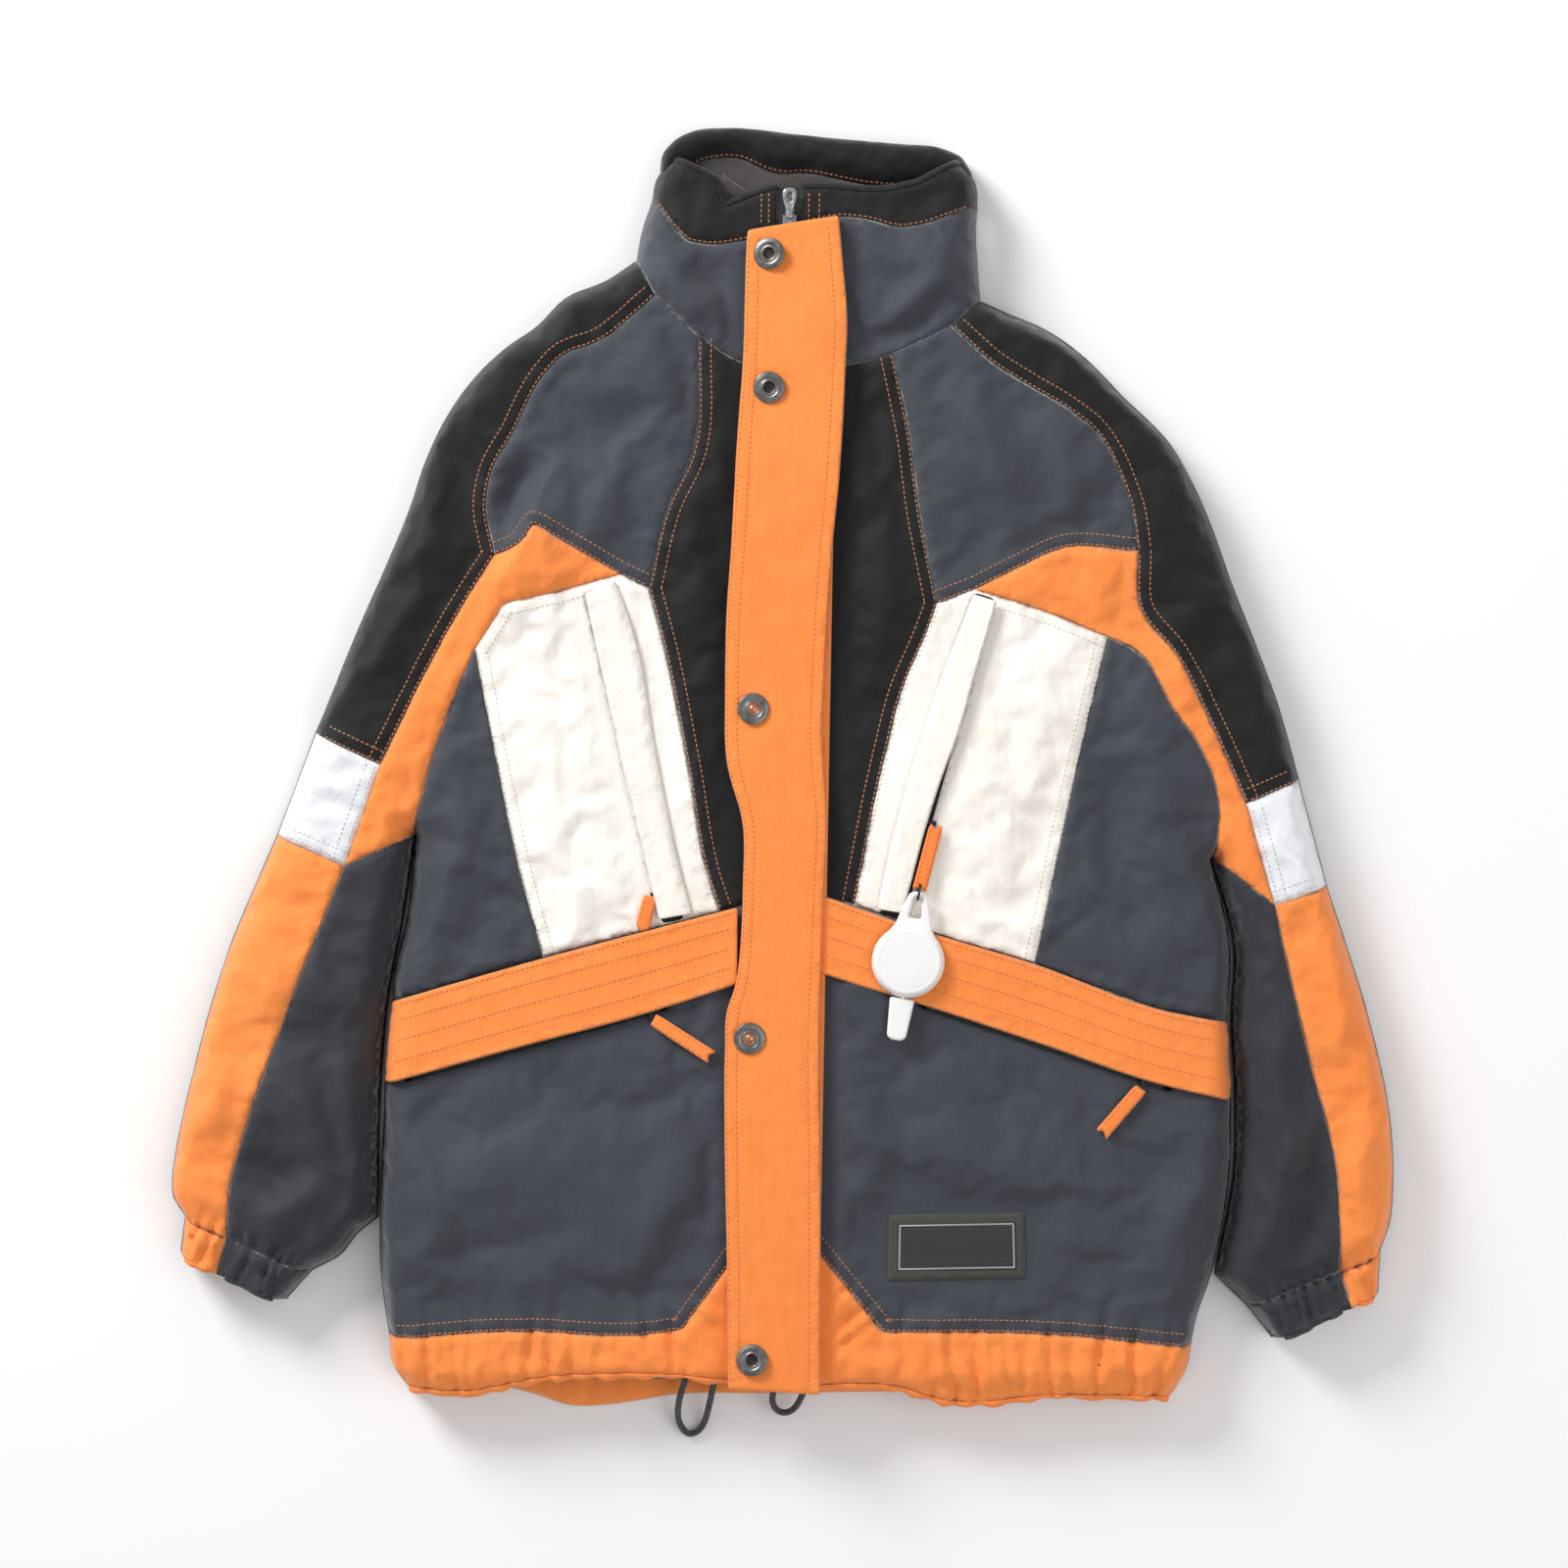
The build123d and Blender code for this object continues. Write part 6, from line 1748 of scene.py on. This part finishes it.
def pull_tab(name, hinge, tip, width, node, body, notch=2.4, forked=False):
    """A folded cloth tab from the slider to its tip, its free end cut to a shallow notch."""
    a, b = np.array(hinge, float), np.array(tip, float)
    length = np.linalg.norm(b - a)
    along_tab = (b - a) / length
    side = np.array([-along_tab[1], along_tab[0]])
    h = width / 2
    outline = [(0.5, -h * 0.8), (4, -h), (length - 1.5, -h * 1.08), (length, -h * 0.9),
               (length - notch, 0), (length + 0.3, h), (length - 2, h * 1.06), (4, h * 1.05)]
    outline += [(0.0, h * 0.9), (3.0 if forked else 0.6, 0.0)]
    ring = rounded([(*(a + along_tab * u + side * v), 0.9) for u, v in outline])

    def bow(xy):
        u = ((xy - a) @ along_tab) / length
        v = ((xy - a) @ side) / h
        return 0.12 * np.sin(math.pi * u) + 0.08 * np.cos(v * 5.2) + 0.06 * waves(xy, 7, 3.1)
    obj = cushion(name, ring, [], 44.4, 45.6, 0.55, 1.4, PULL_CLOTH, body, bow)
    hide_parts(node)
    rows = [np.array([a + along_tab * 3 + side * v, a + along_tab * (length - 4) + side * v])
            for v in (-h * 0.68, h * 0.68)]
    tree = BVHTree.FromObject(obj, bpy.context.evaluated_depsgraph_get())
    stitches(name + "_stitches", rows, "orange", body, [tree], 0.26)
    return obj


pull_tab("chest_right_pull_tab", (-88.8, -85.7), (-94, -107.2), 9, "chest_right_pull", "chest_right_pull",
         -3.0)
pull_tab("chest_left_pull_tab", (103.4, -37.9), (91.8, -82.6), 9, "chest_left_pull", "chest_left_pull",
         2.0, True)
pull_tab("hand_right_pull_tab", (-87.3, -169.1), (-47.6, -194.6), 9, "hand_right_pull", "hand_right_pull")
pull_tab("hand_left_pull_tab", (241.1, -215), (214.2, -246.4), 9, "hand_left_pull", "hand_left_pull")
lace_ring = rounded([(103.0, -39.5), (98.8, -39), (88.6, -78), (90.0, -83), (92.0, -82)], 1.0)
cushion("chest_left_pull_lace", lace_ring, [], 43.6, 45.3, 0.7, 1.2, CORD, "chest_left_pull")

# ---- pass reel ------------------------------------------------------------------------------------
REEL_AT, REEL_TURN = (91.6, -83.6), math.atan2(-0.156, 0.988)


def reel_xy(points):
    """Points in the reel's own axes, with the clip's ring at the origin, set on the jacket."""
    c, s = math.cos(REEL_TURN), math.sin(REEL_TURN)
    return [(REEL_AT[0] + x * c - y * s, REEL_AT[1] + x * s + y * c, *rest) for x, y, *rest in points]


DRUM = -47.0
shoulder = [(24.5 * math.cos(math.radians(a)), DRUM + 24.5 * math.sin(math.radians(a)), 1.0)
            for a in range(52, -233, -8)]
case_ring = rounded(reel_xy([(-5.6, 0.2, 4), (5.6, 0.2, 4), (10.0, -13.0, 5), (12.0, -22.5, 4),
                             *shoulder, (-12.0, -22.5, 4), (-10.0, -13.0, 5)]), 1.0, 4)
case_hole = rounded(reel_xy([(-2.4, -3.4, 2), (2.4, -3.4, 2), (4.4, -17.5, 2), (-4.4, -17.5, 2)]), 2.0, 4)
centre = np.array(reel_xy([(0, DRUM)])[0])


def case_crown(xy):
    """The drum stands above the clip, its face slightly domed, with a fine ring round it."""
    r = np.hypot(*(xy - centre).T)
    drum = np.clip((25.5 - r) / 5.0, 0, 1)
    return 4.2 * drum * drum * (3 - 2 * drum) + 0.5 * np.clip(1 - (r / 24) ** 2, 0, 1) \
        - 0.25 * np.exp(-(((r - 18.6) / 0.7) ** 2))


case = cushion("reel_case_shell", case_ring, [case_hole], 47.2, 50.6, 1.5, 1.15, WHITE_PLASTIC,
               "reel", case_crown)
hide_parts("reel_case")
strap_ring = rounded(reel_xy([(-8.4, -72.0, 2), (8.4, -72.0, 2), (8.0, -78, 6), (6.5, -98.0, 6),
                              (3.4, -100.4, 3), (-3.4, -100.4, 3), (-6.5, -98.0, 6), (-8.0, -78, 6)]))
strap_end = cushion("reel_strap_tab", strap_ring, [], 48.4, 50.4, 0.9, 1.4, WHITE_PLASTIC,
                    "reel_strap")
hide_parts("reel_strap")
line_ring = rounded(reel_xy([(-1.2, -44, 0.8), (1.2, -44, 0.8), (1.2, -74, 0.8), (-1.2, -74, 0.8)]))
cushion("reel_line", line_ring, [], 48.9, 50.1, 0.5, 1.2, WHITE_PLASTIC, "reel_strap")

# ---- badge ----------------------------------------------------------------------------------------
BADGE = [(71.6, -300.6), (162.7, -299.3), (163.4, -343.5), (71.0, -344.8)]


def badge_material(name, colour, second, ribs_across):
    material, tree, shader, place = new_material(name)
    ribs = node_of(tree, "ShaderNodeTexWave", {"Vector": place, "Scale": 150.0, "Distortion": 0.3},
                   bands_direction="Y" if ribs_across else "X").outputs[1]
    weave = noise_at(tree, place, 320.0, 2.0, 0.5)
    tone = mix_colour(tree, math_node(tree, "MULTIPLY", ribs, 0.55), colour, second)
    tree.links.new(tone, shader.inputs["Base Color"])
    tree.links.new(bumps(tree, [(ribs, 0.0003), (weave, 0.0002)]), shader.inputs["Normal"])
    shader.inputs["Roughness"].default_value = 0.75
    shader.inputs["Sheen Weight"].default_value = 0.3
    return material


def on_cloth(xy):
    """How far the cloth under each point lies from the plain front."""
    z = np.array([height_at(x, y) for x, y in xy])
    return z - FRONT_TOP


def inset_of(corners, d):
    """Four corners moved inwards on both sides."""
    middle = np.mean(np.array(corners), axis=0)
    return [tuple(np.array(c) + np.sign(middle - np.array(c)) * d) for c in corners]


badge = cushion("badge_border", rounded(BADGE, 1.5), [], FRONT_TOP - 0.4, FRONT_TOP + 1.5, 0.7, 2.4,
                badge_material("badge_border_ribs", linear(66, 66, 60), linear(46, 46, 42), False),
                "torso", on_cloth)
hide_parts("front_badge")
cushion("badge_field", rounded(inset_of(BADGE, 5.6), 0.8), [], FRONT_TOP, FRONT_TOP + 1.8, 0.3, 2.4,
        badge_material("badge_field_weave", linear(46, 46, 47), linear(34, 34, 35), True),
        "torso", on_cloth)
cushion("badge_frame", rounded(inset_of(BADGE, 7.0), 0.8), [rounded(inset_of(BADGE, 8.0), 0.6)],
        FRONT_TOP + 1.2, FRONT_TOP + 2.4, 0.3, 1.2,
        badge_material("badge_frame_thread", linear(176, 178, 180), linear(150, 152, 154), True),
        "torso", on_cloth)

# ---- drawcord loops -------------------------------------------------------------------------------
LOOPS = {
    "right": ([(-62, -400, 30.2), (-65, -412, 27.5), (-69, -424, 22), (-71.5, -436, 14), (-71, -447, 6.5),
               (-65, -456, 3.4), (-57, -453.5, 3.2), (-52.5, -445, 6.5), (-50, -434, 14.5),
               (-47.5, -422, 22), (-45.5, -411, 27), (-44, -400, 30)], 0.1341),
    "left": ([(4, -400, 30.2), (-0.5, -410, 27.5), (-5.5, -420, 23), (-7.5, -430, 17), (-4.5, -437.5, 12.5),
              (2.5, -440, 11), (9, -435.5, 14), (13, -427, 19), (16.5, -417.5, 24), (19.5, -408, 28),
              (22, -399, 30.5)], 0.1013),
}
for s, (route, length) in LOOPS.items():
    curve = bpy.data.curves.new("drawcord_" + s, "CURVE")
    curve.dimensions = "3D"
    spline = curve.splines.new("NURBS")
    spline.points.add(len(route) - 1)
    for point, place in zip(spline.points, route):
        point.co = (*(c * MM for c in place), 1)
    spline.order_u = 3
    spline.use_endpoint_u = True
    spline.resolution_u = 8
    curve.bevel_depth = 2.25 * MM
    curve.bevel_resolution = 4
    curve.use_fill_caps = True
    curve.materials.append(CORD)
    loop = bpy.data.objects.new("drawcord_loop_cord_" + s, curve)
    bpy.context.scene.collection.objects.link(loop)
    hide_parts("drawcord_loop_" + s)
    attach(loop, "torso")


# ---- floor, light and camera ----------------------------------------------------------------------
WORLD_LIGHT = 0.47
FLOOR_HALF = 4
FLOOR_TONES = (0.955,) * 3, (0.965,) * 3


def floor_material():
    """Pale, matt and almost even."""
    material, tree, shader, place = new_material("pale_floor")
    tone = mix_colour(tree, noise_at(tree, place, 3.0), *FLOOR_TONES)
    tree.links.new(tone, shader.inputs["Base Color"])
    shader.inputs["Roughness"].default_value = 0.9
    return material


floor_corners = [(x * FLOOR_HALF, y * FLOOR_HALF, 0) for x, y in ((-1, -1), (1, -1), (1, 1), (-1, 1))]
floor = new_mesh("floor", floor_corners, [(0, 1, 2, 3)], False)
floor.data.materials.append(floor_material())

world = bpy.data.worlds.new("studio")
bpy.context.scene.world = world
world.use_nodes = True
background = world.node_tree.nodes["Background"]
background.inputs["Color"].default_value = (1.0, 1.0, 1.0, 1.0)
background.inputs["Strength"].default_value = WORLD_LIGHT


def area_light(name, place, size, power):
    """A square light that faces the middle of the jacket."""
    light = bpy.data.lights.new(name, "AREA")
    light.shape = "SQUARE"
    light.size = size
    light.energy = power
    obj = bpy.data.objects.new(name, light)
    obj.location = place
    obj.rotation_euler = (-Vector(place)).to_track_quat("-Z", "Y").to_euler()
    bpy.context.scene.collection.objects.link(obj)


area_light("key", (-1.8, 1.9, 1.45), 1.1, 86)
area_light("fill", (1.6, -0.6, 2.2), 2.0, 20)

camera_data = bpy.data.cameras.new("camera")
camera_data.lens = 82.0
camera_data.sensor_width = 36.0
camera = bpy.data.objects.new("camera", camera_data)
camera.location = (0.001, -0.0109, 2.445)
camera.rotation_euler = (0, 0, 0)
bpy.context.scene.collection.objects.link(camera)
bpy.context.scene.camera = camera
bpy.context.scene.view_settings.view_transform = "Standard"

bpy.context.view_layer.update()
